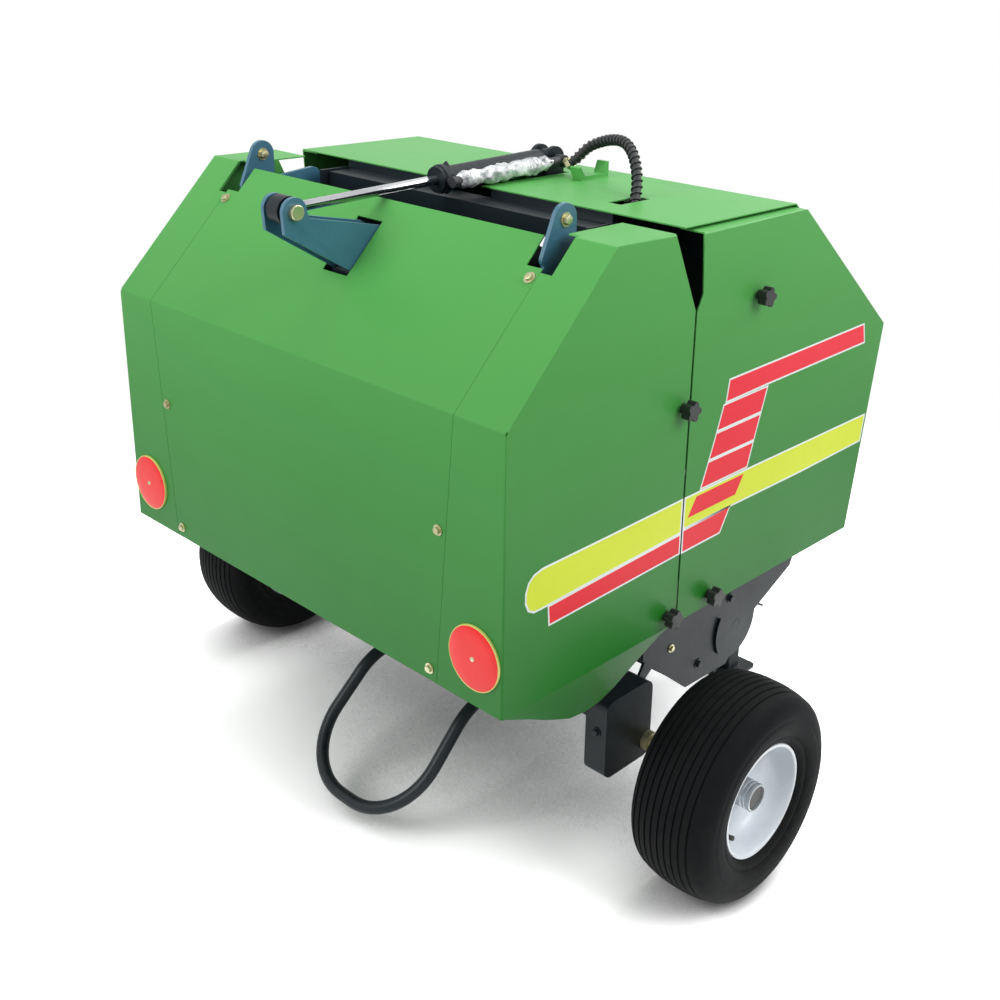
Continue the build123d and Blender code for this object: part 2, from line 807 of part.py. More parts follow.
def along_cylinder(distance):
    """Drawing plane square to the cylinder, this far from the lever pin. Local x is the machine's y."""
    origin = Vector(lever_x, 0, lever_z) + cylinder_dir * distance
    return Plane(origin=origin, x_dir=(0, 1, 0), z_dir=cylinder_dir)


with BuildPart() as cylinder_barrel:
    with BuildSketch(along_cylinder(barrel_start)):
        Circle(barrel_radius + 3)
        Circle(rod_radius + shaft_clearance, mode=Mode.SUBTRACT)
    extrude(amount=24)
    with BuildSketch(along_cylinder(barrel_start + 24)):
        Circle(barrel_radius)
        Circle(rod_radius + shaft_clearance, mode=Mode.SUBTRACT)
    extrude(amount=barrel_end - barrel_start - 36)
    with BuildSketch(along_cylinder(barrel_end - 12)):
        Circle(barrel_radius)
    extrude(amount=12)
    with BuildSketch(along_cylinder(barrel_end)):
        Rectangle(ear_gap - 2, 26)
    extrude(amount=26)
    with BuildSketch(across(ear_gap / 2 - 1)):
        with Locations((ear_x, ear_z)):
            Circle(19)
    extrude(amount=ear_gap - 2)
    with BuildSketch(across(ear_gap / 2 - 1)):
        with Locations((ear_x, ear_z)):
            Circle(ear_pin + pin_clearance)
    extrude(amount=ear_gap - 2, mode=Mode.SUBTRACT)
save(cylinder_barrel.part, "cylinder_barrel")

# Pressure line from the gland's port along the barrel's right side to a swivel ring on the pin axis
line_y = -(barrel_radius + line_radius + 8)
gland_port = along_cylinder(barrel_start + 12).origin
swivel_ring = 12.0
with BuildPart() as cylinder_line:
    with BuildSketch(Plane(origin=(gland_port.X, -barrel_radius - 3, gland_port.Z), z_dir=(0, -1, 0))):
        Circle(7)
    extrude(amount=-line_y - barrel_radius - 3 + line_radius - 2)
    with BuildSketch(along_cylinder(barrel_start + 4)):
        with Locations((line_y, 0)):
            Circle(line_radius)
    extrude(amount=cylinder_length - barrel_start - 12)
    with BuildSketch(across(line_y + line_radius)):
        with Locations((ear_x, ear_z)):
            Circle(swivel_ring)
    extrude(amount=2 * line_radius)
    with BuildSketch(across(line_y + line_radius)):
        with Locations((ear_x, ear_z)):
            Circle(swivel_radius + pin_clearance)
    extrude(amount=2 * line_radius, mode=Mode.SUBTRACT)
save(cylinder_line.part, "cylinder_line")

with BuildPart() as cylinder_rod:
    with BuildSketch(along_cylinder(eye_radius - 3)):
        Circle(rod_radius)
    extrude(amount=barrel_start - eye_radius + 78)
    with BuildSketch(across(eye_width / 2)):
        with Locations((lever_x, lever_z)):
            Circle(eye_radius)
            Circle(lever_pin + eye_clearance, mode=Mode.SUBTRACT)
    extrude(amount=eye_width)
save(cylinder_rod.part, "cylinder_rod")

# Pedestal: two black ears on a foot plate, with the barrel's pin and the hose elbow beside it
foot_thickness = 8.0
stem_end = line_radius - line_y + 1
with BuildPart() as pedestal:
    with BuildSketch(Plane.XY.offset(pedestal_beam_z)):
        with Locations((ear_x, 0)):
            Rectangle(46, ear_gap + 2 * ear_plate)
    extrude(amount=foot_thickness)
    for top_face in (ear_gap / 2 + ear_plate, -ear_gap / 2):
        with BuildSketch(across(top_face)):
            with Locations((ear_x, ear_z)):
                Circle(26)
            with Locations((ear_x - 17, pedestal_beam_z + 6), (ear_x + 17, pedestal_beam_z + 6)):
                Circle(6)
            make_hull()
        extrude(amount=ear_plate)
    with BuildSketch(across(ear_gap / 2 + ear_plate + 4)):
        with Locations((ear_x, ear_z)):
            Circle(ear_pin)
    extrude(amount=ear_gap + 2 * ear_plate + 8)
    # stem that carries the line's swivel ring and the hose elbow
    with BuildSketch(across(0)):
        with Locations((ear_x, ear_z)):
            Circle(swivel_radius)
    extrude(amount=stem_end)
save(pedestal.part, "pedestal")

with BuildPart() as hose_fittings:
    # elbow on the stem, turned up towards the hose
    with BuildSketch(across(-stem_end)):
        with Locations((ear_x, ear_z)):
            RegularPolygon(9, 6)
    extrude(amount=-hose_route[0][1] - stem_end - 8)
    with BuildSketch(Plane(origin=hose_route[0], z_dir=Vector(*hose_route[1]) - Vector(*hose_route[0]))):
        RegularPolygon(11, 6)
    extrude(amount=-10)
    # union below the roof, on a flat bar from the side plate
    with BuildSketch(Plane(origin=hose_route[-1], z_dir=Vector(*hose_route[-2]) - Vector(*hose_route[-1]))):
        RegularPolygon(12, 6)
    extrude(amount=-20)
    with BuildSketch(across(hose_route[-1][1])):
        with Locations((hose_route[-1][0] - 3, hose_route[-1][2] - 20)):
            Rectangle(26, 10)
    extrude(amount=half_chamber + hose_route[-1][1])
save(hose_fittings.part, "hose_fittings")


def route_radii(points):
    """Largest tangent arc for each corner of a hose's route: 0.45 of the shorter run over tan(half turn)."""
    radii = []
    for before, here, after in zip(points, points[1:], points[2:]):
        run_in = Vector(*here) - Vector(*before)
        run_out = Vector(*after) - Vector(*here)
        half_turn = math.radians(run_in.get_angle(run_out)) / 2
        radii.append(0.45 * min(run_in.length, run_out.length) / math.tan(half_turn))
    return radii


hose_radii = route_radii(hose_route)
with BuildPart() as hydraulic_hose:
    with BuildLine() as hose_line:
        FilletPolyline(*hose_route, radius=hose_radii)
    with BuildSketch(Plane(origin=hose_line.line @ 0, z_dir=hose_line.line % 0)):
        Circle(hose_radius)
    sweep()
save(hydraulic_hose.part, "hydraulic_hose")

# Star knobs that hold the covers: x, z on the side cover
knob_radius = 17.0
knob_depth = 26.0
gate_knobs = ((-20.0, 880.0), (-30.0, 496.0))
front_knobs = ((177.0, 1040.0), (93.0, 494.0))


def star_knob(x, z, side):
    """Five-lobed knob on a short stem, standing out from a side cover."""
    start = side * half_width
    with BuildPart() as one:
        with BuildSketch(Plane(origin=(x, start, z), x_dir=(1, 0, 0), z_dir=(0, side, 0))):
            Circle(9)
        extrude(amount=10)
        with BuildSketch(Plane(origin=(x, start + side * 9, z), x_dir=(1, 0, 0), z_dir=(0, side, 0))):
            Circle(knob_radius - 4)
            with PolarLocations(knob_radius - 5, 5):
                Circle(6)
        extrude(amount=knob_depth - 9)
    return one.part


gate_knob_set = [star_knob(x, z, side) for x, z in gate_knobs for side in (-1, 1)]
front_knob_set = [star_knob(x, z, side) for x, z in front_knobs for side in (-1, 1)]
with BuildPart() as knobs_gate:
    add(gate_knob_set)
save(knobs_gate.part, "gate_knobs")
with BuildPart() as knobs_front:
    add(front_knob_set)
save(knobs_front.part, "front_knobs")

# Round reflectors low on the rear corner strips
reflector_y = half_width - reflector_inset
with BuildPart() as reflectors:
    with BuildSketch(Plane.YZ.offset(ridge_x)):
        with Locations((-reflector_y, reflector_z), (reflector_y, reflector_z)):
            Circle(reflector_radius)
    extrude(amount=-reflector_depth)
save(reflectors.part, "reflectors")

# Pickup: side plates, two cross bars, curved bands and the tined reel
carrier_front = axle_beam_x + carrier_length / 2
foot_bottom = foot_beam_z - 25
pickup_outline = [
    (26, 342),
    (168, 223),
    (303, 220),
    (377, 303),
    (517, 369),
    (foot_beam_x + 25, foot_bottom - 12),
    (foot_beam_x + 25, foot_bottom),
    (foot_beam_x - 25, foot_bottom),
    (60, foot_bottom),
    (26, 430),
]
pickup_gusset = [  # meets the axle carrier
    (carrier_front, 284),
    (carrier_front, 308),
    (40, 350),
    (64, 320),
]
plate_inner = pickup_plate_y - pickup_plate / 2
with BuildPart() as pickup_sides:
    for top_face in (-plate_inner, plate_inner + pickup_plate):
        with BuildSketch(across(top_face)):
            Polygon(*pickup_outline, align=None)
            Polygon(*pickup_gusset, align=None)
            with Locations((pickup_x, pickup_z)):
                Circle(reel_stub + pin_clearance, mode=Mode.SUBTRACT)
        extrude(amount=pickup_plate)
save(pickup_sides.part, "pickup_sides")

with BuildPart() as pickup_bars:
    for x, z in (band_top, band_low):
        with BuildSketch(across(plate_inner)):
            with Locations((x, z)):
                Rectangle(band_bar, band_bar)
        extrude(amount=2 * plate_inner)
save(pickup_bars.part, "pickup_bars")


def reel_point(angle, radius):
    """Point on a circle about the reel's axis."""
    turn = math.radians(angle)
    return pickup_x + radius * math.cos(turn), pickup_z + radius * math.sin(turn)


# One band between every two rows of tines: over the reel's front, its ends on the two bars
band_path = [(band_top[0] - band_bar / 2, pickup_z + band_radius)]
band_path += [reel_point(angle, band_radius) for angle in range(90, -91, -20)]
band_path += [(band_low[0] + band_bar / 2, band_low[1] - band_bar / 2 + 2 * band_sheet)]
band_count = tines_per_bar - 1
band_planes = [across((i - (band_count - 1) / 2) * tine_pitch + band_width / 2) for i in range(band_count)]
with BuildPart() as pickup_bands:
    with BuildSketch(*band_planes):
        Polygon(*folded(band_path, band_sheet), align=None)
    extrude(amount=band_width)
save(pickup_bands.part, "pickup_bands")

# Reel: tube, discs and four bars of tines that trail a little at their tips
reel_half = plate_inner - 3
tine_lean = 10.0
tine_planes = [across((i - (tines_per_bar - 1) / 2) * tine_pitch + tine / 2) for i in range(tines_per_bar)]
disc_planes = [across(y) for y in (reel_half, reel_half / 3, -reel_half / 3 + 4, -reel_half + 4)]
with BuildPart() as pickup_reel:
    with BuildSketch(across(reel_half)):
        with Locations((pickup_x, pickup_z)):
            Circle(reel_tube)
            with PolarLocations(reel_bar_circle, tine_bars):
                Circle(reel_bar)
    extrude(amount=2 * reel_half)
    with BuildSketch(across(plate_inner + pickup_plate)):
        with Locations((pickup_x, pickup_z)):
            Circle(reel_stub)
    extrude(amount=2 * (plate_inner + pickup_plate))
    with BuildSketch(*disc_planes):
        with Locations((pickup_x, pickup_z)):
            Circle(reel_disc)
    extrude(amount=4)
    with BuildSketch(*tine_planes):
        for i in range(tine_bars):
            angle = i * 360 / tine_bars
            base = reel_point(angle, reel_bar_circle)
            knee = reel_point(angle - 1, tine_radius - 45)
            tip = reel_point(angle - tine_lean, tine_radius)
            Polygon(*folded([base, knee, tip], tine), align=None)
    extrude(amount=tine)
save(pickup_reel.part, "pickup_reel")

# Front posts between the two front beams, with the plate that carries the gearbox
foot_top = foot_beam_z + 25
front_bottom = front_beam_z - 25
post_lean = (front_beam_x - foot_beam_x) / (front_bottom - foot_top)


def lean_x(z, ahead=0.0):
    """x of the posts' middle at this height, plus a distance ahead of it."""
    return foot_beam_x + post_lean * (z - foot_top) + ahead


post_half = post_width / 2
box_low = shaft_z - 80
box_high = shaft_z + 60
box_plate = 8.0
with BuildPart() as front_posts:
    for top_face in (post_y + post_half, -post_y + post_half):
        with BuildSketch(across(top_face)):
            Polygon(
                (lean_x(foot_top, -post_half), foot_top),
                (lean_x(foot_top, post_half), foot_top),
                (lean_x(front_bottom, post_half), front_bottom),
                (lean_x(front_bottom, -post_half), front_bottom),
                align=None,
            )
        extrude(amount=post_width)
    with BuildSketch(across(post_y - post_half)):
        Polygon(
            (lean_x(box_low, 12), box_low),
            (lean_x(box_low, 12 + box_plate), box_low),
            (lean_x(box_high, 12 + box_plate), box_high),
            (lean_x(box_high, 12), box_high),
            align=None,
        )
    extrude(amount=2 * post_y - post_width)
save(front_posts.part, "front_posts")

# Gearbox: housing, input boss and the cross tube to the left side plate
box_front = 665.0
boss_radius = 42.0
boss_length = 20.0
cross_x = 606.0
cross_tube = 22.0
with BuildPart() as gearbox:
    with BuildSketch(across(gearbox_half)):
        Polygon(
            (lean_x(box_low, 12 + box_plate), box_low),
            (box_front - 18, box_low),
            (box_front, box_low + 25),
            (box_front, box_high - 25),
            (box_front - 18, box_high),
            (lean_x(box_high, 12 + box_plate), box_high),
            align=None,
        )
    extrude(amount=2 * gearbox_half)
    with BuildSketch(Plane.YZ.offset(box_front)):
        with Locations((0, shaft_z)):
            Circle(boss_radius)
    extrude(amount=boss_length)
    with BuildSketch(Plane.YZ.offset(box_front - 45)):
        with Locations((0, shaft_z)):
            Circle(shaft_radius + bearing_clearance)
    extrude(amount=45 + boss_length, mode=Mode.SUBTRACT)
    with BuildSketch(across(gearbox_half + 14)):
        with Locations((cross_x, shaft_z)):
            Circle(cross_tube + 6)
    extrude(amount=14)
    with BuildSketch(across(half_chamber)):
        with Locations((cross_x, shaft_z)):
            Circle(cross_tube)
    extrude(amount=half_chamber - gearbox_half)
    with BuildSketch(across(half_chamber)):
        with Locations((cross_x, shaft_z)):
            Circle(cross_tube + 18)
    extrude(amount=8)
save(gearbox.part, "gearbox")

# Input shaft with six splines
spline_root = 14.8
spline_width = 8.6
spline_length = 45.0
with BuildPart() as pto_shaft:
    with BuildSketch(Plane.YZ.offset(box_front - 44)):
        with Locations((0, shaft_z)):
            Circle(shaft_radius)
    extrude(amount=shaft_x - spline_length - box_front + 44)
    with BuildSketch(Plane.YZ.offset(shaft_x - spline_length)):
        with Locations((0, shaft_z)):
            Circle(spline_root)
            with PolarLocations(spline_root, 6):
                Rectangle(2 * (shaft_radius - spline_root), spline_width)
    extrude(amount=spline_length)
save(pto_shaft.part, "pto_shaft")

# Guard over the input shaft, open below
guard_radius = 76.0
guard_wall = 3.0
with BuildPart() as pto_guard:
    with BuildSketch(Plane.YZ.offset(box_front)):
        with Locations((0, shaft_z)):
            Circle(guard_radius)
            Circle(boss_radius + 1, mode=Mode.SUBTRACT)
        with Locations((0, shaft_z - guard_radius)):
            Rectangle(2 * guard_radius, 1.2 * guard_radius, mode=Mode.SUBTRACT)
    extrude(amount=guard_wall)
    with BuildSketch(Plane.YZ.offset(box_front)):
        with Locations((0, shaft_z)):
            Circle(guard_radius)
            Circle(guard_radius - guard_wall, mode=Mode.SUBTRACT)
        with Locations((0, shaft_z - guard_radius)):
            Rectangle(2 * guard_radius, 1.2 * guard_radius, mode=Mode.SUBTRACT)
    extrude(amount=shaft_x - box_front - 5)
save(pto_guard.part, "pto_guard")

# Mast plates for the tractor's top link
front_top = front_beam_z + 25
with BuildPart() as hitch_mast:
    for top_face in (mast_gap / 2 + mast_plate, -mast_gap / 2):
        with BuildSketch(across(top_face)):
            with Locations((mast_x, top_link_z)):
                Circle(mast_boss)
            with Locations((front_beam_x - 17, front_top + 6), (front_beam_x + 19, front_top + 6)):
                Circle(6)
            make_hull()
            with Locations((mast_x, top_link_z)):
                Circle(top_link_hole, mode=Mode.SUBTRACT)
        extrude(amount=mast_plate)
save(hitch_mast.part, "hitch_mast")

# Lower link arms, each with its pin
foot_face = foot_beam_x + 25
with BuildPart() as link_arms:
    for side in (-1, 1):
        inner_face = side * link_y if side < 0 else link_y - link_plate
        with BuildSketch(across(inner_face + link_plate)):
            with Locations((link_x, link_z)):
                Circle(link_boss)
            with Locations((foot_face + 12, foot_beam_z + 12), (foot_face + 12, foot_beam_z - 12)):
                Circle(12)
            make_hull()
        extrude(amount=link_plate)
        pin_start = link_y + link_pin_length if side > 0 else -link_y
        with BuildSketch(across(pin_start)):
            with Locations((link_x, link_z)):
                Circle(link_pin)
        extrude(amount=link_pin_length)
        # hole for the linch pin
        with BuildSketch(Plane.XY.offset(link_z - 2 * link_pin)):
            with Locations((link_x, side * (link_y + link_pin_length - 10))):
                Circle(5.5)
        extrude(amount=4 * link_pin, mode=Mode.SUBTRACT)
save(link_arms.part, "link_arms")

# Parking leg: a square socket on the foot beam and the leg that slides in it
socket_low = 330.0
socket_high = foot_top
leg_outer = leg_socket - 2 * leg_wall - 2 * leg_clearance
leg_top = 450.0
foot_plate = 6.0
screw_z = 375.0
socket_face = leg_x + leg_socket / 2
with BuildPart() as leg_holder:
    with BuildSketch(Plane.XY.offset(socket_low)):
        with Locations((leg_x, leg_y)):
            Rectangle(leg_socket, leg_socket)
            Rectangle(leg_socket - 2 * leg_wall, leg_socket - 2 * leg_wall, mode=Mode.SUBTRACT)
    extrude(amount=socket_high - socket_low)
    with BuildSketch(Plane.XY.offset(foot_bottom)):
        with Locations(((foot_face + leg_x - leg_socket / 2) / 2, leg_y)):
            Rectangle(leg_x - leg_socket / 2 - foot_face, leg_socket)
    extrude(amount=foot_top - foot_bottom)
    # clamp screw with its tee handle
    with BuildSketch(Plane.YZ.offset(socket_face)):
        with Locations((leg_y, screw_z)):
            Circle(8)
    extrude(amount=26)
    with BuildSketch(across(leg_y + 35)):
        with Locations((socket_face + 21, screw_z)):
            Circle(5)
    extrude(amount=70)
save(leg_holder.part, "leg_holder")

with BuildPart() as parking_leg:
    with BuildSketch():
        with Locations((leg_x, leg_y)):
            RectangleRounded(110, 90, 12)
    extrude(amount=foot_plate)
    with BuildSketch(Plane.XY.offset(foot_plate)):
        with Locations((leg_x, leg_y)):
            Rectangle(leg_outer, leg_outer)
            Rectangle(leg_outer - 2 * leg_wall, leg_outer - 2 * leg_wall, mode=Mode.SUBTRACT)
    extrude(amount=leg_top - foot_plate)
save(parking_leg.part, "parking_leg")
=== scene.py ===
"""Looks of the small round baler: paint, steel, rubber, stripes, wheels, hose and fasteners."""

import json
import math

import bmesh
import bpy
from mathutils import Matrix, Vector, noise


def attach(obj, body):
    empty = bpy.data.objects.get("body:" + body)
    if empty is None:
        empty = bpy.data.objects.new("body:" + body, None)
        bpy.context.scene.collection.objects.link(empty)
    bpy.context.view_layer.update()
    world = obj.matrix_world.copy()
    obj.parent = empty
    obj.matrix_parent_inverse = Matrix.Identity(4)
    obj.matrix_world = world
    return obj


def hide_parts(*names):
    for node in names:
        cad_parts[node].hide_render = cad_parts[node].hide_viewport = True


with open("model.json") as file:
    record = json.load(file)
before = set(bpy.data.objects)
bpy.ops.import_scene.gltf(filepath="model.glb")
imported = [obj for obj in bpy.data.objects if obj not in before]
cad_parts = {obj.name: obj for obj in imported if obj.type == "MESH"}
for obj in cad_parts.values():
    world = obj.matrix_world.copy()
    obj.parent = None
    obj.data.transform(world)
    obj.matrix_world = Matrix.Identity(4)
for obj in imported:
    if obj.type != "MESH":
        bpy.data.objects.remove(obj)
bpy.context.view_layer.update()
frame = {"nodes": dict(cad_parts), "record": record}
nodes = frame["nodes"]
scene = bpy.context.scene

# Places in millimetres, x measured from the seam between the front covers and the tailgate
MIDDLE = 145.5          # the machine's middle
SIDE = 530.0            # outer face of the side covers
REAR = -434.0           # rear face of the tailgate
REFLECTOR = (470, 556)  # distance from the middle, and height
AXLE = (5, 668, 200)    # middle of the left wheel
PICKUP_SIDE = 442       # outer face of the pickup's side plates
REEL_AXIS = (330, 300)
LEVER_PIN = (-420, 1180)
CYLINDER_EAR = (200, 1204)
SIDES = ((-1, "right"), (1, "left"))


def at(x, y, z):
    """Point given in millimetres from the seam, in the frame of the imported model."""
    return Vector(((x - MIDDLE) / 1000, y / 1000, z / 1000))


# ---------------------------------------------------------------- camera and hose
def set_camera():
    """Camera at the photograph's angle, behind the machine and to its right."""
    place = Vector((-1.7758, -1.7158, 1.5976))
    yaw, pitch, roll = 0.7368355, -0.3424412, 0.0313462
    forward = Vector((math.cos(yaw) * math.cos(pitch), math.sin(yaw) * math.cos(pitch),
                      math.sin(pitch)))
    level = Vector((math.sin(yaw), -math.cos(yaw), 0))
    upright = level.cross(forward)
    side = level * math.cos(roll) + upright * math.sin(roll)
    top = upright * math.cos(roll) - level * math.sin(roll)
    data = bpy.data.cameras.new("camera")
    data.lens = 45.959
    data.sensor_width = 36
    data.shift_x = -0.06
    data.shift_y = -0.1
    camera = bpy.data.objects.new("camera", data)
    scene.collection.objects.link(camera)
    turn = Matrix((side, top, -forward)).transposed().to_4x4()
    camera.matrix_world = Matrix.Translation(place) @ turn
    scene.camera = camera


set_camera()

HOSE_RADIUS = 0.008
HOSE_ROUTE = [  # from the swivel on the cylinder's port, over the roof and into its slot
    (200, -66, 1204), (203, -78, 1214), (208, -100, 1238), (206, -132, 1251), (196, -170, 1261),
    (178, -215, 1264), (160, -250, 1250), (143, -275, 1222), (125, -292, 1192),
    (105, -302, 1165), (95, -306, 1130),
]
GUARD_PITCH = 0.0122
GUARD_WIRE = 0.0021
GUARD_REACH = HOSE_RADIUS + 0.0009      # from the hose's line to the wire's
GUARD_STEPS = 14                        # points in each turn
GUARD_ENDS = (0.006, 0.012)             # length left bare at each end


def route_curve(name):
    """Open curve along the hose's route."""
    data = bpy.data.curves.new(name, "CURVE")
    data.dimensions = "3D"
    data.resolution_u = 24
    spline = data.splines.new("NURBS")
    spline.points.add(len(HOSE_ROUTE) - 1)
    for point, place in zip(spline.points, HOSE_ROUTE):
        point.co = (*at(*place), 1)
    spline.order_u = 3
    spline.use_endpoint_u = True
    obj = bpy.data.objects.new(name, data)
    scene.collection.objects.link(obj)
    return obj


def route_points():
    """Points along the hose's own line, read from its curve."""
    bare = route_curve("route_line")
    line = bpy.data.meshes.new_from_object(bare)
    points = [v.co.copy() for v in line.vertices]
    bpy.data.objects.remove(bare)
    bpy.data.meshes.remove(line)
    return points


def round_bar(name, points, radius, resolution):
    """Mesh of a capped round bar along a line of points."""
    data = bpy.data.curves.new(name, "CURVE")
    data.dimensions = "3D"
    data.bevel_depth = radius
    data.bevel_resolution = resolution
    data.use_fill_caps = True
    spline = data.splines.new("POLY")
    spline.points.add(len(points) - 1)
    for point, place in zip(spline.points, points):
        point.co = (*place, 1)
    bar = bpy.data.objects.new(name, data)
    scene.collection.objects.link(bar)
    mesh = bpy.data.meshes.new_from_object(bar)
    bpy.data.objects.remove(bar)
    mesh.polygons.foreach_set("use_smooth", [True] * len(mesh.polygons))
    return mesh


def winding_points(points):
    """Points of the spiral guard's wire, wound round the hose's line."""
    side = (points[1] - points[0]).orthogonal().normalized()
    total = sum((b - a).length for a, b in zip(points, points[1:]))
    winding, travelled, next_stop = [], 0.0, GUARD_ENDS[0]
    for a, b in zip(points, points[1:]):
        along = (b - a).normalized()
        side = (side - along * side.dot(along)).normalized()
        while next_stop <= travelled + (b - a).length and next_stop < total - GUARD_ENDS[1]:
            turn = Matrix.Rotation(2 * math.pi * next_stop / GUARD_PITCH, 3, along)
            winding.append(a + along * (next_stop - travelled) + turn @ side * GUARD_REACH)
            next_stop += GUARD_PITCH / GUARD_STEPS
        travelled += (b - a).length
    return winding


def make_hose():
    """The hose's curve and the spiral guard round it."""
    hose = route_curve("hydraulic_hose_line")
    hose.data.bevel_depth = HOSE_RADIUS
    hose.data.bevel_resolution = 5
    hose.data.use_fill_caps = True
    mesh = round_bar("guard", winding_points(route_points()), GUARD_WIRE, 1)
    guard = bpy.data.objects.new("hose_spiral_guard", mesh)
    scene.collection.objects.link(guard)
    return hose, guard


hose, hose_guard = make_hose()


# ---------------------------------------------------------------- finishes
def new_group(name, inputs, outputs):
    """Shader node group with named sockets, and its two end nodes."""
    group = bpy.data.node_groups.new(name, "ShaderNodeTree")
    for label, kind, value in inputs:
        socket = group.interface.new_socket(label, in_out="INPUT",
                                            socket_type="NodeSocket" + kind)
        socket.default_value = value
    for label, kind in outputs:
        group.interface.new_socket(label, in_out="OUTPUT", socket_type="NodeSocket" + kind)
    return group, group.nodes.new("NodeGroupInput"), group.nodes.new("NodeGroupOutput")


def add_node(tree, kind, **settings):
    """New shader node with these settings."""
    node = tree.nodes.new("ShaderNode" + kind)
    for key, value in settings.items():
        setattr(node, key, value)
    return node


def feed(tree, socket, value):
    """Give a socket another socket's value, or a plain one."""
    if isinstance(value, bpy.types.NodeSocket):
        tree.links.new(value, socket)
    else:
        socket.default_value = value


def mix_colour(tree, factor, first, second):
    """Mix two colours; each argument is a socket or a plain value."""
    node = add_node(tree, "Mix", data_type="RGBA")
    for index, value in ((0, factor), (6, first), (7, second)):
        feed(tree, node.inputs[index], value)
    return node.outputs[2]


def ramp(tree, value, low, high):
    """Value brought to 0..1 between two limits."""
    node = add_node(tree, "MapRange", clamp=True)
    tree.links.new(value, node.inputs["Value"])
    node.inputs["From Min"].default_value = low
    node.inputs["From Max"].default_value = high
    return node.outputs["Result"]


def maths(tree, operation, first, second=0.0):
    """Result of a sum on sockets or plain values."""
    node = add_node(tree, "Math", operation=operation)
    for socket, value in zip(node.inputs, (first, second)):
        feed(tree, socket, value)
    return node.outputs[0]


def cloud_group():
    """Slow change between two colours, with finer flecks on top."""
    group, start, end = new_group(
        "cloudy colour",
        [("Colour", "Color", (0.5, 0.5, 0.5, 1)),
         ("Second Colour", "Color", (0.4, 0.4, 0.4, 1)),
         ("Scale", "Float", 4.0), ("Amount", "Float", 0.5)],
        [("Colour", "Color"), ("Mask", "Float")])
    place = add_node(group, "TexCoord")
    wide = add_node(group, "TexNoise")
    wide.inputs["Detail"].default_value = 4
    fine = add_node(group, "TexNoise")
    fine.inputs["Detail"].default_value = 6
    fine.inputs["Roughness"].default_value = 0.65
    for node in (wide, fine):
        group.links.new(place.outputs["Object"], node.inputs["Vector"])
    group.links.new(start.outputs["Scale"], wide.inputs["Scale"])
    group.links.new(maths(group, "MULTIPLY", start.outputs["Scale"], 9.0), fine.inputs["Scale"])
    mask = maths(group, "ADD", ramp(group, wide.outputs[0], 0.35, 0.68),
                 maths(group, "MULTIPLY", ramp(group, fine.outputs[0], 0.5, 0.75), 0.45))
    mask = maths(group, "MULTIPLY", mask, start.outputs["Amount"])
    colour = mix_colour(group, mask, start.outputs["Colour"], start.outputs["Second Colour"])
    group.links.new(colour, end.inputs["Colour"])
    group.links.new(mask, end.inputs["Mask"])
    return group


def painted_light_and_dust_group():
    """Painted light, a colour paler towards the top as a painted highlight, and field dust that
    settles low down and on faces that look up.
    """
    group, start, end = new_group(
        "painted light and dust",
        [("Colour", "Color", (0.5, 0.5, 0.5, 1)), ("Pale Colour", "Color", (0.6, 0.6, 0.6, 1)),
         ("Dust Colour", "Color", (0.34, 0.29, 0.21, 1)), ("Fade", "Float", 0.3),
         ("Dust", "Float", 0.3), ("Dust Height", "Float", 0.3)],
        [("Colour", "Color"), ("Dust", "Float")])
    place = add_node(group, "TexCoord")
    split = add_node(group, "SeparateXYZ")
    group.links.new(place.outputs["Object"], split.inputs[0])
    height = split.outputs["Z"]
    # painted highlight and shade: the colour turns paler with height, so upper faces look lit and
    # low ones shaded
    lightened = maths(group, "MULTIPLY", ramp(group, height, 0.45, 1.2), start.outputs["Fade"])
    colour = mix_colour(group, lightened, start.outputs["Colour"], start.outputs["Pale Colour"])
    speck = add_node(group, "TexNoise")
    speck.inputs["Scale"].default_value = 60
    speck.inputs["Detail"].default_value = 8
    group.links.new(place.outputs["Object"], speck.inputs["Vector"])
    facing = add_node(group, "NewGeometry")
    face_split = add_node(group, "SeparateXYZ")
    group.links.new(facing.outputs["Normal"], face_split.inputs[0])
    low = maths(group, "SUBTRACT", 1.0,
                maths(group, "DIVIDE", height, start.outputs["Dust Height"]))
    low = ramp(group, low, 0.0, 1.0)
    settled = maths(group, "MULTIPLY", ramp(group, face_split.outputs["Z"], 0.6, 1.0), 0.35)
    dust = maths(group, "ADD", low, settled)
    dust = maths(group, "MULTIPLY", dust, ramp(group, speck.outputs[0], 0.35, 0.7))
    dust = maths(group, "MULTIPLY", dust, start.outputs["Dust"])
    dusty = mix_colour(group, dust, colour, start.outputs["Dust Colour"])
    group.links.new(dusty, end.inputs["Colour"])
    group.links.new(dust, end.inputs["Dust"])
    return group


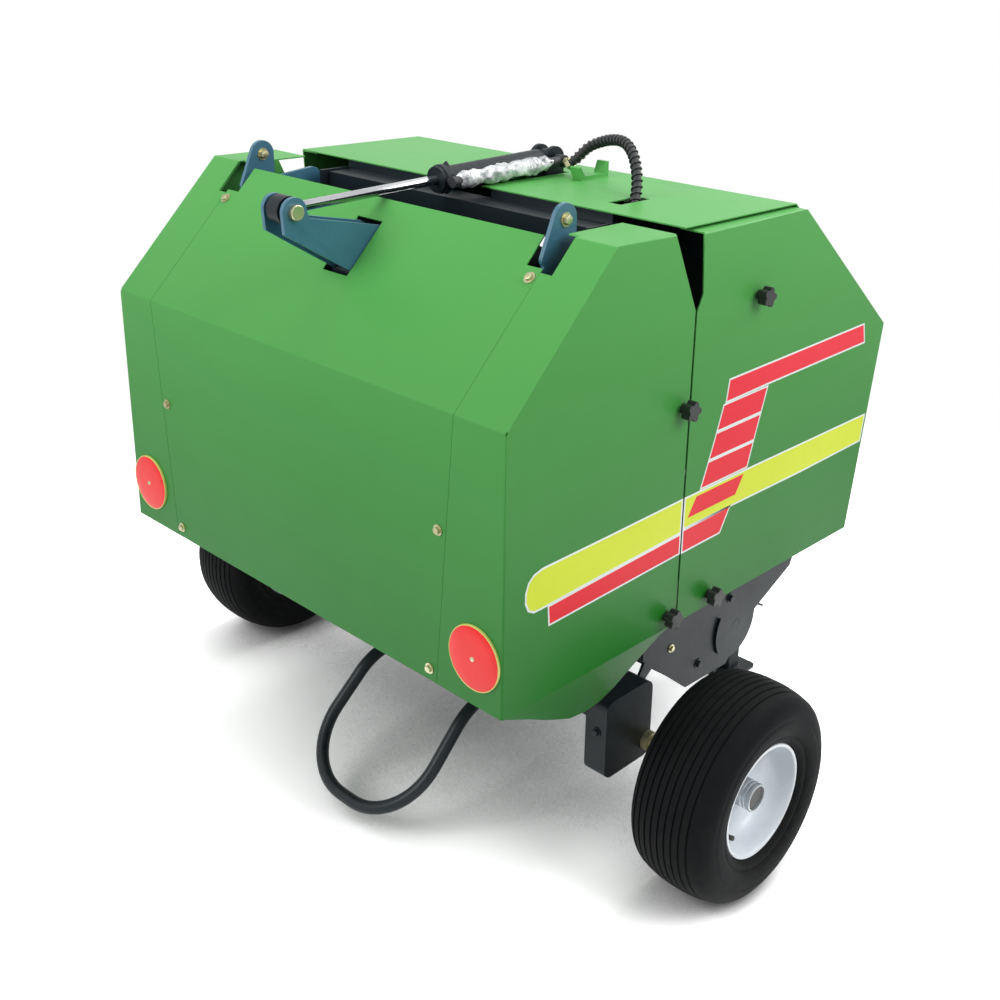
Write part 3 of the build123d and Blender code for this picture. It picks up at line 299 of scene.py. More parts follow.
def grain_group():
    """Height of a fine surface grain, and hairline scratches along one direction."""
    group, start, end = new_group(
        "surface grain",
        [("Scale", "Float", 400.0), ("Stretch", "Vector", (1, 1, 1)),
         ("Scratches", "Float", 0.0)],
        [("Height", "Float")])
    place = add_node(group, "TexCoord")
    stretch = add_node(group, "VectorMath", operation="MULTIPLY")
    group.links.new(place.outputs["Object"], stretch.inputs[0])
    group.links.new(start.outputs["Stretch"], stretch.inputs[1])
    fine = add_node(group, "TexNoise")
    fine.inputs["Detail"].default_value = 3
    group.links.new(stretch.outputs[0], fine.inputs["Vector"])
    group.links.new(start.outputs["Scale"], fine.inputs["Scale"])
    lines = add_node(group, "TexNoise")
    lines.inputs["Detail"].default_value = 2
    lines.inputs["Scale"].default_value = 14
    lines.inputs["Distortion"].default_value = 1.5
    group.links.new(stretch.outputs[0], lines.inputs["Vector"])
    near = maths(group, "ABSOLUTE", maths(group, "SUBTRACT", lines.outputs[0], 0.5))
    hair = maths(group, "SUBTRACT", 1.0, ramp(group, near, 0.0, 0.004))
    hair = maths(group, "MULTIPLY", hair, start.outputs["Scratches"])
    group.links.new(maths(group, "SUBTRACT", fine.outputs[0], hair), end.inputs["Height"])
    return group


CLOUD = cloud_group()
PAINTED_LIGHT_AND_DUST = painted_light_and_dust_group()
GRAIN = grain_group()


def srgb(red, green, blue):
    """Linear colour from screen values of 0 to 255."""
    return (*(v / 255 / 12.92 if v <= 10 else ((v / 255 + 0.055) / 1.055) ** 2.4
              for v in (red, green, blue)), 1)


def effect(tree, group, **values):
    """Node of an effect's group, with this finish's values; underscores stand for spaces."""
    node = add_node(tree, "Group", node_tree=group)
    for label, value in values.items():
        node.inputs[label.replace("_", " ")].default_value = value
    return node


def finish_for(name, colour, second, rough=0.4, spread=0.15, metal=0.0, coat=0.0, cloud=0.5,
               scale=4.0, pale=None, fade=0.0, dust=0.25, dust_height=0.35, grain=400.0,
               stretch=(1, 1, 1), scratches=0.0, bump=0.05, depth=0.0004, shine=0.5):
    """Material with the three effects, each with this finish's own values."""
    material = bpy.data.materials.new(name)
    material.use_nodes = True
    tree = material.node_tree
    shader = tree.nodes["Principled BSDF"]
    cloudy = effect(tree, CLOUD, Colour=colour, Second_Colour=second, Scale=scale, Amount=cloud)
    # the second effect paints light, a paler top as a painted highlight, and adds real field dust
    painted_light_and_dust = effect(tree, PAINTED_LIGHT_AND_DUST, Pale_Colour=pale or second, Fade=fade, Dust=dust,
                     Dust_Height=dust_height)
    surface = effect(tree, GRAIN, Scale=grain, Stretch=stretch, Scratches=scratches)
    tree.links.new(cloudy.outputs["Colour"], painted_light_and_dust.inputs["Colour"])
    tree.links.new(painted_light_and_dust.outputs["Colour"], shader.inputs["Base Color"])
    uneven = maths(tree, "MULTIPLY", cloudy.outputs["Mask"], spread)
    uneven = maths(tree, "ADD", uneven,
                   maths(tree, "MULTIPLY", painted_light_and_dust.outputs["Dust"], 0.5))
    tree.links.new(maths(tree, "ADD", uneven, rough), shader.inputs["Roughness"])
    relief = add_node(tree, "Bump")
    relief.inputs["Strength"].default_value = bump
    relief.inputs["Distance"].default_value = depth
    tree.links.new(surface.outputs["Height"], relief.inputs["Height"])
    tree.links.new(relief.outputs["Normal"], shader.inputs["Normal"])
    shader.inputs["Metallic"].default_value = metal
    shader.inputs["Specular IOR Level"].default_value = shine
    shader.inputs["Coat Weight"].default_value = coat
    shader.inputs["Coat Roughness"].default_value = 0.12
    return material


FINISHES = {
    # The green paint's dark colour low down and pale colour up high are painted light: painted
    # shade below, a painted highlight on top
    "green_paint": finish_for(
        "green paint", srgb(26, 112, 30), srgb(22, 98, 28), rough=0.42, coat=0.05, cloud=0.45,
        scale=1.6, pale=srgb(96, 178, 92), fade=0.7, dust=0.02, dust_height=0.55, grain=900,
        bump=0.04, shine=0.22),
    "blue_grey_paint": finish_for(
        "blue grey paint", srgb(62, 112, 134), srgb(48, 94, 116), rough=0.34, coat=0.2, cloud=0.6,
        scale=6, dust=0.15, grain=700, scratches=0.3, bump=0.06),
    "black_paint": finish_for(
        "black paint", srgb(22, 32, 37), srgb(14, 21, 26), rough=0.36, coat=0.05, cloud=0.7,
        scale=5, dust=0.03, dust_height=0.5, grain=600, scratches=0.25, bump=0.08, shine=0.2),
    "bright_steel": finish_for(
        "bright steel", srgb(196, 198, 198), srgb(150, 150, 148), rough=0.28, spread=0.3,
        metal=1.0, cloud=0.8, scale=9, dust=0.12, grain=500, stretch=(1, 0.06, 1), scratches=0.5,
        bump=0.1),
    "rod_chrome": finish_for(
        "rod chrome", srgb(226, 228, 232), srgb(190, 192, 198), rough=0.09, spread=0.08, metal=1.0,
        cloud=0.3, scale=12, dust=0.02, grain=900, stretch=(0.1, 1, 1), scratches=0.3, bump=0.03),
    "tyre_rubber": finish_for(
        "tyre rubber", srgb(14, 16, 18), srgb(20, 22, 24), rough=0.6, cloud=0.6, scale=10,
        dust=0.02, dust_height=0.45, grain=1200, bump=0.15, shine=0.06),
    "rim_paint": finish_for(
        "rim paint", srgb(228, 234, 240), srgb(208, 217, 225), rough=0.3, coat=0.25, cloud=0.5,
        scale=8, dust=0.05, dust_height=0.4, grain=900, scratches=0.15, bump=0.04),
    "zinc_steel": finish_for(
        "yellow zinc steel", srgb(190, 189, 156), srgb(160, 154, 118), rough=0.3, spread=0.25,
        metal=1.0, cloud=0.9, scale=30, dust=0.06, grain=700, scratches=0.2, bump=0.05),
    "black_plastic": finish_for(
        "black plastic", srgb(22, 23, 25), srgb(30, 31, 33), rough=0.42, cloud=0.5, scale=20,
        dust=0.12, grain=1500, bump=0.25),
    "red_reflector": finish_for(
        "red lens", srgb(240, 26, 24), srgb(222, 18, 20), rough=0.3, coat=0.15, cloud=0.4,
        scale=14, dust=0.02, grain=260, bump=0.25, depth=0.0008, shine=0.3),
    "hose_rubber": finish_for(
        "hose rubber", srgb(20, 22, 26), srgb(34, 36, 42), rough=0.5, cloud=0.6, scale=25,
        dust=0.06, grain=1500, bump=0.2),
    "cast_housing": finish_for(
        "cast housing", srgb(66, 72, 76), srgb(48, 53, 57), rough=0.55, cloud=0.7, scale=9,
        dust=0.25, dust_height=0.8, grain=350, bump=0.5, depth=0.0008),
}
GALVANISED = finish_for(
    "galvanised steel", srgb(178, 184, 188), srgb(140, 146, 152), rough=0.34, spread=0.3,
    metal=0.9, cloud=1.0, scale=26, dust=0.15, grain=300, scratches=0.4, bump=0.06)
# The red film's paler pink towards the top is painted light, a painted highlight
RED_FILM = finish_for(
    "red film", srgb(228, 24, 34), srgb(216, 18, 26), rough=0.36, coat=0.05, cloud=0.5, scale=5,
    pale=srgb(250, 66, 88), fade=0.8, dust=0.02, grain=1200, bump=0.02, shine=0.2)
YELLOW_FILM = finish_for(
    "yellow film", srgb(220, 234, 62), srgb(212, 226, 52), rough=0.36, coat=0.05, cloud=0.5,
    scale=5, dust=0.02, grain=1200, bump=0.02, shine=0.2)
WHITE_FILM = finish_for(
    "white film", srgb(232, 238, 236), srgb(216, 226, 220), rough=0.32, coat=0.2, cloud=0.4,
    scale=5, dust=0.06, grain=1200, bump=0.02)
CLEAR_WRAP = finish_for(
    "crumpled wrap", srgb(232, 234, 236), srgb(70, 74, 82), rough=0.14, spread=0.1, coat=0.8,
    cloud=0.8, scale=40, dust=0.0, grain=130, bump=0.9, depth=0.002)
PALE_RING = finish_for(
    "pale ring", srgb(214, 216, 120), srgb(196, 200, 104), rough=0.3, cloud=0.4, scale=9,
    dust=0.04, grain=900, bump=0.03)


def paint(obj, *materials):
    """Give a piece these materials in place of its own."""
    if len(obj.data.materials):     # clearing an empty list would still reset the faces' indices
        obj.data.materials.clear()
    for material in materials:
        obj.data.materials.append(material)


# ---------------------------------------------------------------- pieces
WASHER = 1.6            # thickness of every bolt's washer, in millimetres
FOLD_ANGLE = 0.9        # a long fold of a sheet: its least angle, length and area beside it
FOLD_LENGTH = 0.03
FOLD_AREA = 0.004


def place_piece(name, mesh, body, slot, *materials):
    """New piece that rides on a body, in its slot's finish where no material is given."""
    obj = bpy.data.objects.new(name, mesh)
    scene.collection.objects.link(obj)
    paint(obj, *(materials or (FINISHES[slot],)))
    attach(obj, body)
    return obj


def to_mesh(work, name, angle=35):
    """Mesh of a finished bmesh, smooth but for edges sharper than the angle."""
    mesh = bpy.data.meshes.new(name)
    work.to_mesh(mesh)
    work.free()
    mesh.polygons.foreach_set("use_smooth", [True] * len(mesh.polygons))
    mesh.set_sharp_from_angle(angle=math.radians(angle))
    return mesh


def close_up(work):
    """Join doubled points and turn all faces outwards."""
    bmesh.ops.remove_doubles(work, verts=work.verts, dist=2e-6)
    bmesh.ops.recalc_face_normals(work, faces=work.faces)


def solid_piece(work, name, body, slot, *materials, angle=35):
    """Close a bmesh up and place it as a named piece."""
    close_up(work)
    return place_piece(name, to_mesh(work, name, angle), body, slot, *materials)


def turned(work, profile, centre, axis, steps):
    """Spin a profile of (along the axis, radius) pairs in millimetres about an axis."""
    axis = Vector(axis).normalized()
    out = axis.orthogonal().normalized()
    start = [work.verts.new(centre + axis * (along / 1000) + out * (radius / 1000))
             for along, radius in profile]
    edges = [work.edges.new(pair) for pair in zip(start, start[1:])]
    bmesh.ops.spin(work, geom=start + edges, cent=centre, axis=axis, steps=steps,
                   angle=2 * math.pi, use_merge=True)


def turned_piece(name, profile, centre, axis, steps, body, slot, *materials, angle=35):
    """Piece made from one turned profile."""
    work = bmesh.new()
    turned(work, profile, centre, axis, steps)
    return solid_piece(work, name, body, slot, *materials, angle=angle)


def hex_bolt(work, place, direction, across, head):
    """Hexagon head on its washer, on a surface at place; across flats and head in millimetres."""
    direction = Vector(direction).normalized()
    turn = direction.to_track_quat("Z", "Y").to_matrix().to_4x4()
    rim = across * 0.85
    turned(work, [(-0.5, 0), (-0.5, rim), (WASHER, rim), (WASHER, 0)], place, direction, 20)
    corner = across / 1732
    middle = place + direction * (WASHER + head / 2) / 1000
    made = bmesh.ops.create_cone(work, cap_ends=True, segments=6, radius1=corner, radius2=corner,
                                 depth=head / 1000, matrix=Matrix.Translation(middle) @ turn)
    top = [e for e in {e for v in made["verts"] for e in v.link_edges}
           if all((v.co - place).dot(direction) > (WASHER + head * 0.9) / 1000 for v in e.verts)]
    bmesh.ops.bevel(work, geom=top, offset=across / 12000, segments=2, profile=0.5,
                    affect="EDGES", material=-1)


def body_of(node):
    """Name of the body that a CAD node belongs to."""
    bodies = frame["record"]["behaviour"]["bodies"]
    return next(body for body, members in bodies.items() if node in members)


def merged_copy(node):
    """Bmesh of a CAD node with its loose triangles joined into whole faces."""
    work = bmesh.new()
    work.from_mesh(nodes[node].data)
    bmesh.ops.remove_doubles(work, verts=work.verts, dist=1e-5)
    bmesh.ops.dissolve_limit(work, angle_limit=math.radians(0.4), verts=work.verts,
                             edges=work.edges)
    return work


def long_folds(work):
    """Outer edges between two large faces, where a sheet is bent."""
    return [e for e in work.edges
            if len(e.link_faces) == 2 and e.calc_face_angle_signed(0) > FOLD_ANGLE
            and e.calc_length() > FOLD_LENGTH
            and min(f.calc_area() for f in e.link_faces) > FOLD_AREA]


def soften(node, slot, width, segments=2, material=None, fold=0.0):
    """Replace a CAD node by its own shape with softened edges, and round its long folds."""
    name = node + "_finished"
    work = merged_copy(node)
    if fold:
        bmesh.ops.bevel(work, geom=long_folds(work), offset=fold, segments=4, profile=0.5,
                        affect="EDGES", material=-1)
    obj = place_piece(name, to_mesh(work, name), body_of(node), slot, material or FINISHES[slot])
    edge = obj.modifiers.new("edges", "BEVEL")
    edge.width = width
    edge.segments = segments
    edge.limit_method = "ANGLE"
    edge.angle_limit = math.radians(40)
    edge.harden_normals = True
    if fold:        # keeps the large flat faces evenly lit beside their rounded folds
        even = obj.modifiers.new("even shading", "WEIGHTED_NORMAL")
        even.keep_sharp = True
    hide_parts(node)


# Covers and frame pieces
for node in ("gate_side_right", "gate_side_left", "front_cover_right", "front_cover_left"):
    soften(node, "green_paint", width=0.0005, fold=0.0045)
for node in ("gate_panel", "front_roof", "front_panel", "gate_skin"):
    soften(node, "green_paint", width=0.0005)
for node in ("gate_arms", "gate_lever"):
    soften(node, "blue_grey_paint", width=0.0012, segments=3)
for node in ("chamber_plates", "cross_beams", "pickup_sides", "pickup_bars", "front_posts",
             "link_arms", "leg_holder", "parking_leg", "hitch_mast", "pedestal", "gate_frame"):
    soften(node, "black_paint", width=0.001)
soften("axle_frame", "black_paint", width=0.003, segments=3)
for node in ("gate_rollers", "front_rollers"):
    soften(node, "bright_steel", width=0.001)
for node in ("gate_knobs", "front_knobs"):
    soften(node, "black_plastic", width=0.0018, segments=3)
soften("gearbox", "cast_housing", width=0.004, segments=3)
soften("pto_guard", "black_plastic", width=0.0008)
soften("pto_shaft", "bright_steel", width=0.0006)
soften("pickup_bands", "bright_steel", width=0.0004, material=GALVANISED)
soften("hose_fittings", "zinc_steel", width=0.0008)
soften("cylinder_barrel", "black_paint", width=0.0012)
for obj in nodes.values():
    slot = obj.data.materials[0].name.split(".")[0] if obj.data.materials else "black_paint"
    paint(obj, FINISHES.get(slot, FINISHES["black_paint"]))
paint(nodes["front_skin"], GALVANISED)

# Bale hoop: one bent round bar
HOOP = [at(-55, 70, 237.5), at(-190, 80, 232), at(-378, 90, 52),
        at(-378, -210, 52), at(-190, -200, 232), at(-55, -190, 237.5)]
HOOP_BEND = 0.128
HOOP_RADIUS = 0.0125
BEND_STEPS = 16


def bent_bar(name, points, bend, radius):
    """Mesh of a round bar along straight runs joined by arcs of one bend radius."""
    line = [points[0]]
    for before, corner, after in zip(points, points[1:], points[2:]):
        inward, outward = (before - corner).normalized(), (after - corner).normalized()
        half = inward.angle(outward) / 2
        centre = corner + (inward + outward).normalized() * bend / math.sin(half)
        start = corner + inward * bend / math.tan(half)
        swing = math.pi - 2 * half
        axis = inward.cross(outward)
        for i in range(BEND_STEPS + 1):
            turn = Matrix.Rotation(-swing * i / BEND_STEPS, 3, axis)
            line.append(centre + turn @ (start - centre))
    line.append(points[-1])
    mesh = round_bar(name, line, radius, 6)
    mesh.set_sharp_from_angle(angle=math.radians(50))
    return mesh


hoop = place_piece("bale_hoop_finished",
                   bent_bar("bale_hoop_finished", HOOP, HOOP_BEND, HOOP_RADIUS),
                   "frame", "black_paint")
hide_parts("bale_hoop")

# Stripes: thin film on the side covers, each colour edged in white
WHITE, RED, YELLOW = 0, 1, 2
BORDER_HEIGHT = 0.12
FRONT_FILM = [  # points (x, z), height of the film, white edge, colour
    ([(109, 903), (559, 916), (569, 873), (230, 864), (102, 859)], 0.3, 3.6, RED),
    ([(97, 859), (234, 863), (218, 814), (81, 811)], 0.3, 3.4, RED),
    ([(81, 811), (218, 814), (202, 764), (63, 762)], 0.3, 3.4, RED),
    ([(63, 762), (202, 764), (187, 715), (44, 713)], 0.3, 3.4, RED),
    ([(2, 712), (192, 714), (604, 716), (595, 657), (370, 652), (2, 651)], 0.22, 3.6, YELLOW),
    ([(36, 704), (177, 706), (155, 672), (14, 670)], 0.36, 0, RED),
    ([(2, 651), (144, 655), (116, 607), (2, 605)], 0.3, 3.4, RED),
]
GATE_FILM = [
    ([(-2, 712), (-195, 707), (-350, 704), (-370, 699), (-382, 689), (-388, 673), (-388, 654),
      (-381, 639), (-368, 632), (-351, 632), (-191, 639), (-2, 646)], 0.22, 3.6, YELLOW),
    ([(-337, 633), (-191, 639), (-2, 646), (-2, 606), (-334, 596)], 0.3, 3.2, RED),
]


def film(work, points, side, lift, edge, colour):
    """One film area of (x, z) points, with a white border inside its edge."""
    face = work.faces.new([work.verts.new(at(x, side * (SIDE + 0.05), z)) for x, z in points])
    face.normal_update()
    border = []
    if edge:
        border = bmesh.ops.inset_individual(work, faces=[face], thickness=edge / 1000,
                                            use_even_offset=True)["faces"]
    for group, height, index in ((border, BORDER_HEIGHT, WHITE), ([face], lift, colour)):
        if not group:
            continue
        raised = bmesh.ops.extrude_face_region(work, geom=group)
        top = [g for g in raised["geom"] if isinstance(g, bmesh.types.BMFace)]
        corners = {v for f in top for v in f.verts}
        bmesh.ops.translate(work, verts=list(corners), vec=(0, side * height / 1000, 0))
        for f in {f for v in corners for f in v.link_faces}:
            f.material_index = index


for cover, body, areas in (("front", "frame", FRONT_FILM), ("tailgate", "tailgate", GATE_FILM)):
    for side, word in SIDES:
        name = f"stripes_{cover}_{word}"
        work = bmesh.new()
        for points, lift, edge, colour in areas:
            film(work, points, side, lift, edge, colour)
        bmesh.ops.recalc_face_normals(work, faces=work.faces)
        place_piece(name, to_mesh(work, name, 20), body, "green_paint",
                    WHITE_FILM, RED_FILM, YELLOW_FILM)

# Wheels: ribbed tyre, dished rim with its hub and valve
TYRE_RADIUS = 200
TREAD_HALF = 64.0       # half the tread's width
CROWN = 9.0             # how much lower the tread's edge is than its middle
GROOVES = 9
GROOVE_DEPTH = 2.8
SIDEWALL = [(66, 104.5), (72, 109), (77, 115), (79.5, 121), (78.8, 124), (82, 127), (84.6, 136),
            (86, 148), (85.6, 154), (84.8, 156), (85.2, 158), (83.6, 166), (80.5, 174),
            (75.5, 182), (69.5, 188)]
TYRE_INSIDE = [(66, 104.5), (0, 104.3), (-66, 104.5)]
RIM_OUTSIDE = [(66, 104.4), (69, 107), (71.5, 106), (71.5, 101), (68, 98.5), (50, 98), (38, 95),
               (26, 90), (19, 84), (15, 76), (13.5, 62), (13.5, 44), (15, 40), (17.5, 38),
               (17.5, 26.2)]
RIM_INSIDE = [(9.5, 26.2), (9.5, 40), (9, 74), (12, 88), (0, 95.5), (-50, 96.5), (-64, 98.5),
              (-69, 101), (-69.5, 106.5), (-66, 104.4)]
HUB = [(-59, 12.7), (-59, 24), (-57, 26), (40, 26), (41, 24.5), (43.5, 24.5), (44.5, 26),
       (48, 26), (49, 24.5), (51.5, 24.5), (52.5, 26), (57, 26), (59, 25), (59, 22.5),
       (53.5, 21.5), (53.5, 12.7), (-59, 12.7)]
HUB_CAP = [(53, 0), (53, 22.2), (55.2, 21.8), (56.2, 18), (55.6, 15), (55.6, 0)]
VALVE = [(-12, 0), (-12, 5.8), (3, 5.8), (6, 4.6), (10, 4), (10.5, 4.6), (16, 4.6), (17, 0)]


def tyre_profile():
    """(across, radius) of the tyre's section, from the inner bead over the tread to the outer."""
    pitch = 2 * TREAD_HALF / GROOVES
    tread = []
    for i in range(GROOVES):
        left = TREAD_HALF - i * pitch
        for step, drop in ((0, 0), (pitch - 4.2, 0), (pitch - 3.3, GROOVE_DEPTH),
                           (pitch - 1, GROOVE_DEPTH)):
            across = left - step
            radius = TYRE_RADIUS - CROWN * abs(across / TREAD_HALF) ** 2.4 - drop
            tread.append((across, radius))
    tread.append((-TREAD_HALF, TYRE_RADIUS - CROWN))
    return SIDEWALL + tread + [(-across, radius) for across, radius in reversed(SIDEWALL)]


for side, word in SIDES:
    body = f"wheel_{word}"
    centre = at(AXLE[0], side * AXLE[1], AXLE[2])
    outwards = Vector((0, side, 0))
    work = bmesh.new()
    for profile in (tyre_profile(), TYRE_INSIDE):
        turned(work, profile, centre, outwards, 96)
    tyre = solid_piece(work, f"tyre_{word}_ribbed", body, "tyre_rubber", angle=40)
    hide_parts(f"tyre_{word}")
    rim = turned_piece(f"rim_{word}_dished", RIM_OUTSIDE + RIM_INSIDE, centre, outwards, 72,
                       body, "rim_paint", angle=50)
    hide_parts(f"rim_{word}")
    turned_piece(f"hub_{word}", HUB, centre, outwards, 48, body, "rim_paint", GALVANISED)
    turned_piece(f"hub_cap_{word}", HUB_CAP, centre, outwards, 40, body, "black_plastic")
    foot = centre + Vector((-0.034, side * 0.024, -0.080))      # on the rim's dish
    turned_piece(f"valve_{word}", VALVE, foot, (0, side * 0.97, 0.2), 14, body, "black_plastic")

# Reflectors: red lens in a bright ring, held by one screw
RING = [(-0.2, 0), (-0.2, 56), (3.4, 56), (4.2, 55.6), (4.4, 54.9), (4, 54.3), (3, 54.2), (3, 0)]
LENS = [(2.4, 54.3), (3.8, 54.2), (4.8, 50), (5.5, 40), (5.9, 22), (6, 0)]
SCREW = [(5.6, 0), (5.6, 4.6), (7, 4.2), (7.8, 2.4), (8, 0)]
for name, profile, steps, slot, material in (
        ("reflector_rings", RING, 64, "rim_paint", PALE_RING),
        ("reflector_lenses", LENS, 64, "red_reflector", FINISHES["red_reflector"]),
        ("reflector_screws", SCREW, 20, "zinc_steel", FINISHES["zinc_steel"])):
    work = bmesh.new()
    for side in (-1, 1):
        turned(work, profile, at(REAR, side * REFLECTOR[0], REFLECTOR[1]), (-1, 0, 0), steps)
    obj = solid_piece(work, name, "tailgate", slot, material)
    if name == "reflector_lenses":
        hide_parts("reflectors")

# Folded lower edge of the tailgate covers, turned inwards and down
FOLD_EDGE = 470.6       # height of the cover's lower edge
FOLD_SLOPE = 2.4        # drop for each millimetre inwards
FOLD = [(-430, 470.6), (-8, 470.6), (-36, 458), (-60, 430), (-85, 400), (-110, 368), (-137, 347),
        (-172, 341), (-218, 350), (-260, 372), (-303, 396), (-350, 425), (-395, 450)]
for side, word in SIDES:
    work = bmesh.new()
    sheet = [work.verts.new(at(x, side * (SIDE - 0.6 - (FOLD_EDGE - z) / FOLD_SLOPE), z))
             for x, z in FOLD]
    bmesh.ops.solidify(work, geom=[work.faces.new(sheet)], thickness=0.0025)
    solid_piece(work, f"lower_fold_{word}", "tailgate", "green_paint", angle=20)

# Fasteners
STRAP_RADIUS = 0.062    # inner edge of the strap over the reel's bearing slot
STRAP_WIDTH = 0.014
STRAP_THICKNESS = 0.006
STRAP_ARC = 64          # degrees


def bearing_strap(side):
    """Bmesh of the curved strap over the reel's bearing slot in a pickup side plate."""
    hub = at(REEL_AXIS[0], side * PICKUP_SIDE, REEL_AXIS[1])
    turn = Matrix.Rotation(math.radians(-STRAP_ARC / 2), 3, "Y")
    strap = bmesh.new()
    bmesh.ops.create_grid(strap, x_segments=1, y_segments=1, size=0.5)
    for v in strap.verts:
        flat = Vector((-STRAP_RADIUS - STRAP_WIDTH * (v.co.x + 0.5),
                       side * STRAP_THICKNESS * (v.co.y + 0.5), 0))
        v.co = turn @ flat + hub
    bmesh.ops.spin(strap, geom=strap.verts[:] + strap.edges[:] + strap.faces[:], cent=hub,
                   axis=(0, 1, 0), steps=14, angle=math.radians(STRAP_ARC))
    return strap


tailgate_bolts, frame_bolts, dark_bolts = bmesh.new(), bmesh.new(), bmesh.new()
for side in (-1, 1):
    for y, z in ((386, 745), (365, 492)):
        hex_bolt(tailgate_bolts, at(REAR, side * y, z), (-1, 0, 0), 11, 5)
    hex_bolt(tailgate_bolts, at(-265, side * 407, 1119), (-0.721, 0, 0.693), 12, 5)
    hex_bolt(tailgate_bolts, at(-184, side * 404, 1198), (0, side, 0), 14, 7)
    hex_bolt(tailgate_bolts, at(-184, side * 396, 1198), (0, -side, 0), 14, 9)
PIN_HEAD = [(-4, 0), (-4, 13), (4, 13), (5.5, 11.5), (5.5, 0)]
turned(tailgate_bolts, PIN_HEAD, at(LEVER_PIN[0], -34, LEVER_PIN[1]), (0, -1, 0), 32)
for side, word in SIDES:
    hex_bolt(frame_bolts, at(112, side * PICKUP_SIDE, 335), (0, side, 0), 10, 4)
    for x, z in ((300, 372), (205, 262), (470, 430)):
        hex_bolt(dark_bolts, at(x, side * PICKUP_SIDE, z), (0, side, 0), 13, 5)
    hex_bolt(dark_bolts, at(-115, side * 455, 262), (-1, 0, 0), 12, 5)
    for z in (612, 668):
        hex_bolt(dark_bolts, at(665, side * 60, z), (1, 0, 0), 13, 6)
    solid_piece(bearing_strap(side), f"bearing_strap_{word}", "frame", "black_paint")
for y in (-110, 110):
    for x, z in ((566.8, 575), (583.3, 685)):
        hex_bolt(dark_bolts, at(x, y, z), (1, 0, 0), 13, 6)
solid_piece(dark_bolts, "dark_bolts", "frame", "black_paint")
solid_piece(tailgate_bolts, "tailgate_bolts", "tailgate", "zinc_steel")
solid_piece(frame_bolts, "frame_bolts", "frame", "zinc_steel")

# Cylinder: crumpled clear wrap round the pressure line, gland clamp
PIN = at(LEVER_PIN[0], 0, LEVER_PIN[1])
EAR = at(CYLINDER_EAR[0], 0, CYLINDER_EAR[1])
DIRECTION = (EAR - PIN).normalized()
GLAND = [(0, 10), (0, 24.5), (2, 26.5), (12, 26.5), (14, 25), (14, 21.5)]
WRAP_LENGTH = 245
WRAP_RADIUS = 15.0
WRAP_RINGS = 64
CRUMPLE_SEED = 1        # without it the noise starts anew, and the wrap differs, on every run


def wrap_line():
    """The pressure line's loose film wrap, from the gland back to the swivel."""
    profile = [(0, 0)]
    for i in range(WRAP_RINGS + 1):
        t = i / WRAP_RINGS
        swell = 1 + 0.09 * math.sin(t * 19) + 0.07 * math.sin(t * 41 + 1)
        taper = min(1, 7 * t + 0.5, 5 * (1 - t) + 0.55)
        profile.append((t * WRAP_LENGTH, WRAP_RADIUS * swell * taper))
    profile.append((WRAP_LENGTH, 0))
    work = bmesh.new()
    start = PIN + DIRECTION * 0.346 + Vector((0, -0.039, 0.001))
    turned(work, profile, start, DIRECTION, 30)
    close_up(work)
    noise.seed_set(CRUMPLE_SEED)
    for v in work.verts:
        v.co += 0.0034 * noise.noise_vector(v.co * 85) + 0.0016 * noise.noise_vector(v.co * 210)
    return to_mesh(work, "line_wrap", 60)


place_piece("line_wrap", wrap_line(), "cylinder", "rim_paint", CLEAR_WRAP)
work = bmesh.new()
gland = PIN + DIRECTION * 0.336
turned(work, GLAND, gland, DIRECTION, 40)
turn = DIRECTION.to_track_quat("Z", "Y").to_matrix().to_4x4()
made = bmesh.ops.create_cone(work, cap_ends=True, segments=4, radius1=0.0315, radius2=0.0315,
                             depth=0.007,
                             matrix=Matrix.Translation(gland + DIRECTION * 0.020) @ turn)
bmesh.ops.bevel(work, geom=list({e for v in made["verts"] for e in v.link_edges}), offset=0.003,
                segments=3, profile=0.5, affect="EDGES", material=-1)
solid_piece(work, "cylinder_gland", "cylinder", "black_paint")

# Rod: chromed shaft, black eye
EYE_REACH = 0.034       # faces nearer to the pin than this belong to the eye
work = merged_copy("cylinder_rod")
for face in work.faces:
    face.material_index = 0 if (face.calc_center_median() - PIN).length < EYE_REACH else 1
rod = place_piece("cylinder_rod_finished", to_mesh(work, "cylinder_rod_finished"), "rod",
                  "rod_chrome", FINISHES["black_paint"], FINISHES["rod_chrome"])
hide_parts("cylinder_rod")

# Hose pieces
paint(hose, FINISHES["hose_rubber"])
paint(hose_guard, FINISHES["black_plastic"])
for obj in (hose, hose_guard):
    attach(obj, "frame")
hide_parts("hydraulic_hose")


# ---------------------------------------------------------------- floor and light
FLOOR_NEAR, FLOOR_FAR = 1.1, 2.4        # the floor fades to white between these distances
SHADOW_REACH = 0.75
SOFT_WORLD = 0.26                       # strength of the white surroundings as a light
LAMPS = [  # name, place, size, power
    ("key", (-3.4, 0.6, 2.6), 2.2, 104),
    ("top", (0.8, 0.3, 4.2), 2.4, 50),
    ("front", (3.6, -0.9, 3.2), 2.0, 90),
    ("fill", (0.6, -3.6, 3.2), 2.6, 112),
]
LAMP_AIM = Vector((0, 0, 0.6))


def watched(tree):
    """1 for rays from the camera, straight, mirrored or through; 0 for rays of diffuse light."""
    path = add_node(tree, "LightPath")
    return maths(tree, "MAXIMUM", path.outputs["Is Camera Ray"],
                 maths(tree, "MAXIMUM", path.outputs["Is Glossy Ray"],
                       path.outputs["Is Transmission Ray"]))


def joined(tree, kind, *sockets):
    """Output of a node that mixes or adds the shaders linked to it, in order."""
    node = add_node(tree, kind)
    for socket, target in zip(sockets, node.inputs):
        tree.links.new(socket, target)
    return node.outputs[0]


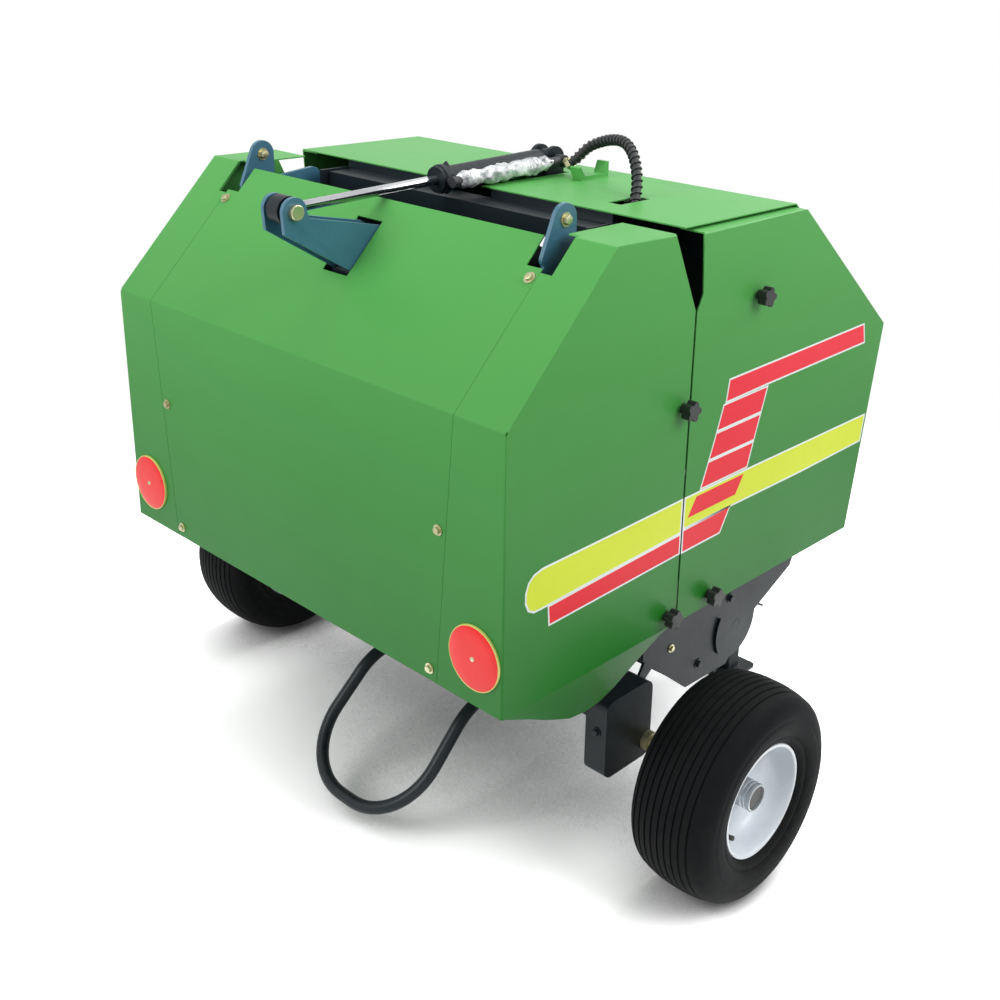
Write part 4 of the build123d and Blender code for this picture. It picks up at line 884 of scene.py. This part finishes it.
def floor_material():
    """White floor with a contact shadow, seen by the camera; plain grey to diffuse light."""
    material = bpy.data.materials.new("pale floor")
    material.use_nodes = True
    tree = material.node_tree
    tree.nodes.clear()
    matte = add_node(tree, "BsdfDiffuse")
    matte.inputs["Color"].default_value = (0.5, 0.5, 0.5, 1)
    seen = add_node(tree, "BsdfDiffuse")
    shade = add_node(tree, "AmbientOcclusion", samples=12)
    shade.inputs["Distance"].default_value = SHADOW_REACH
    bright = maths(tree, "POWER", ramp(tree, shade.outputs["AO"], 0.18, 0.6), 1.1)
    tone = mix_colour(tree, bright, (0.22, 0.22, 0.22, 1), (1.75, 1.75, 1.75, 1))
    tree.links.new(tone, seen.inputs["Color"])
    glow = add_node(tree, "Emission")
    glow.inputs["Strength"].default_value = 0.02
    white = add_node(tree, "Emission")
    place = add_node(tree, "TexCoord")
    away = add_node(tree, "VectorMath", operation="LENGTH")
    tree.links.new(place.outputs["Object"], away.inputs[0])
    far = ramp(tree, away.outputs["Value"], FLOOR_NEAR, FLOOR_FAR)
    lit = joined(tree, "AddShader", seen.outputs[0], glow.outputs[0])
    lightened = joined(tree, "MixShader", far, lit, white.outputs[0])
    surface = joined(tree, "MixShader", watched(tree), matte.outputs[0], lightened)
    tree.links.new(surface, add_node(tree, "OutputMaterial").inputs[0])
    return material


def set_world():
    """White surroundings, weaker as a light than they look."""
    world = bpy.data.worlds.new("studio")
    scene.world = world
    world.use_nodes = True
    tree = world.node_tree
    tree.nodes.clear()
    shades = []
    for strength in (SOFT_WORLD, 1.0):
        shade = add_node(tree, "Background")
        shade.inputs["Color"].default_value = (1, 1, 1, 1)
        shade.inputs["Strength"].default_value = strength
        shades.append(shade.outputs[0])
    surface = joined(tree, "MixShader", watched(tree), *shades)
    tree.links.new(surface, add_node(tree, "OutputWorld").inputs[0])


def set_stage():
    """Floor, surroundings and lamps."""
    mesh = bpy.data.meshes.new("floor")
    work = bmesh.new()
    bmesh.ops.create_grid(work, x_segments=1, y_segments=1, size=20)
    work.to_mesh(mesh)
    work.free()
    floor = bpy.data.objects.new("floor", mesh)
    scene.collection.objects.link(floor)
    floor.data.materials.append(floor_material())
    set_world()
    for name, place, size, power in LAMPS:
        lamp = bpy.data.lights.new(name, "AREA")
        lamp.size = size
        lamp.energy = power
        obj = bpy.data.objects.new(name, lamp)
        scene.collection.objects.link(obj)
        obj.location = place
        obj.rotation_euler = (LAMP_AIM - Vector(place)).to_track_quat("-Z", "Y").to_euler()


set_stage()
scene.view_settings.view_transform = "Standard"

bpy.context.view_layer.update()
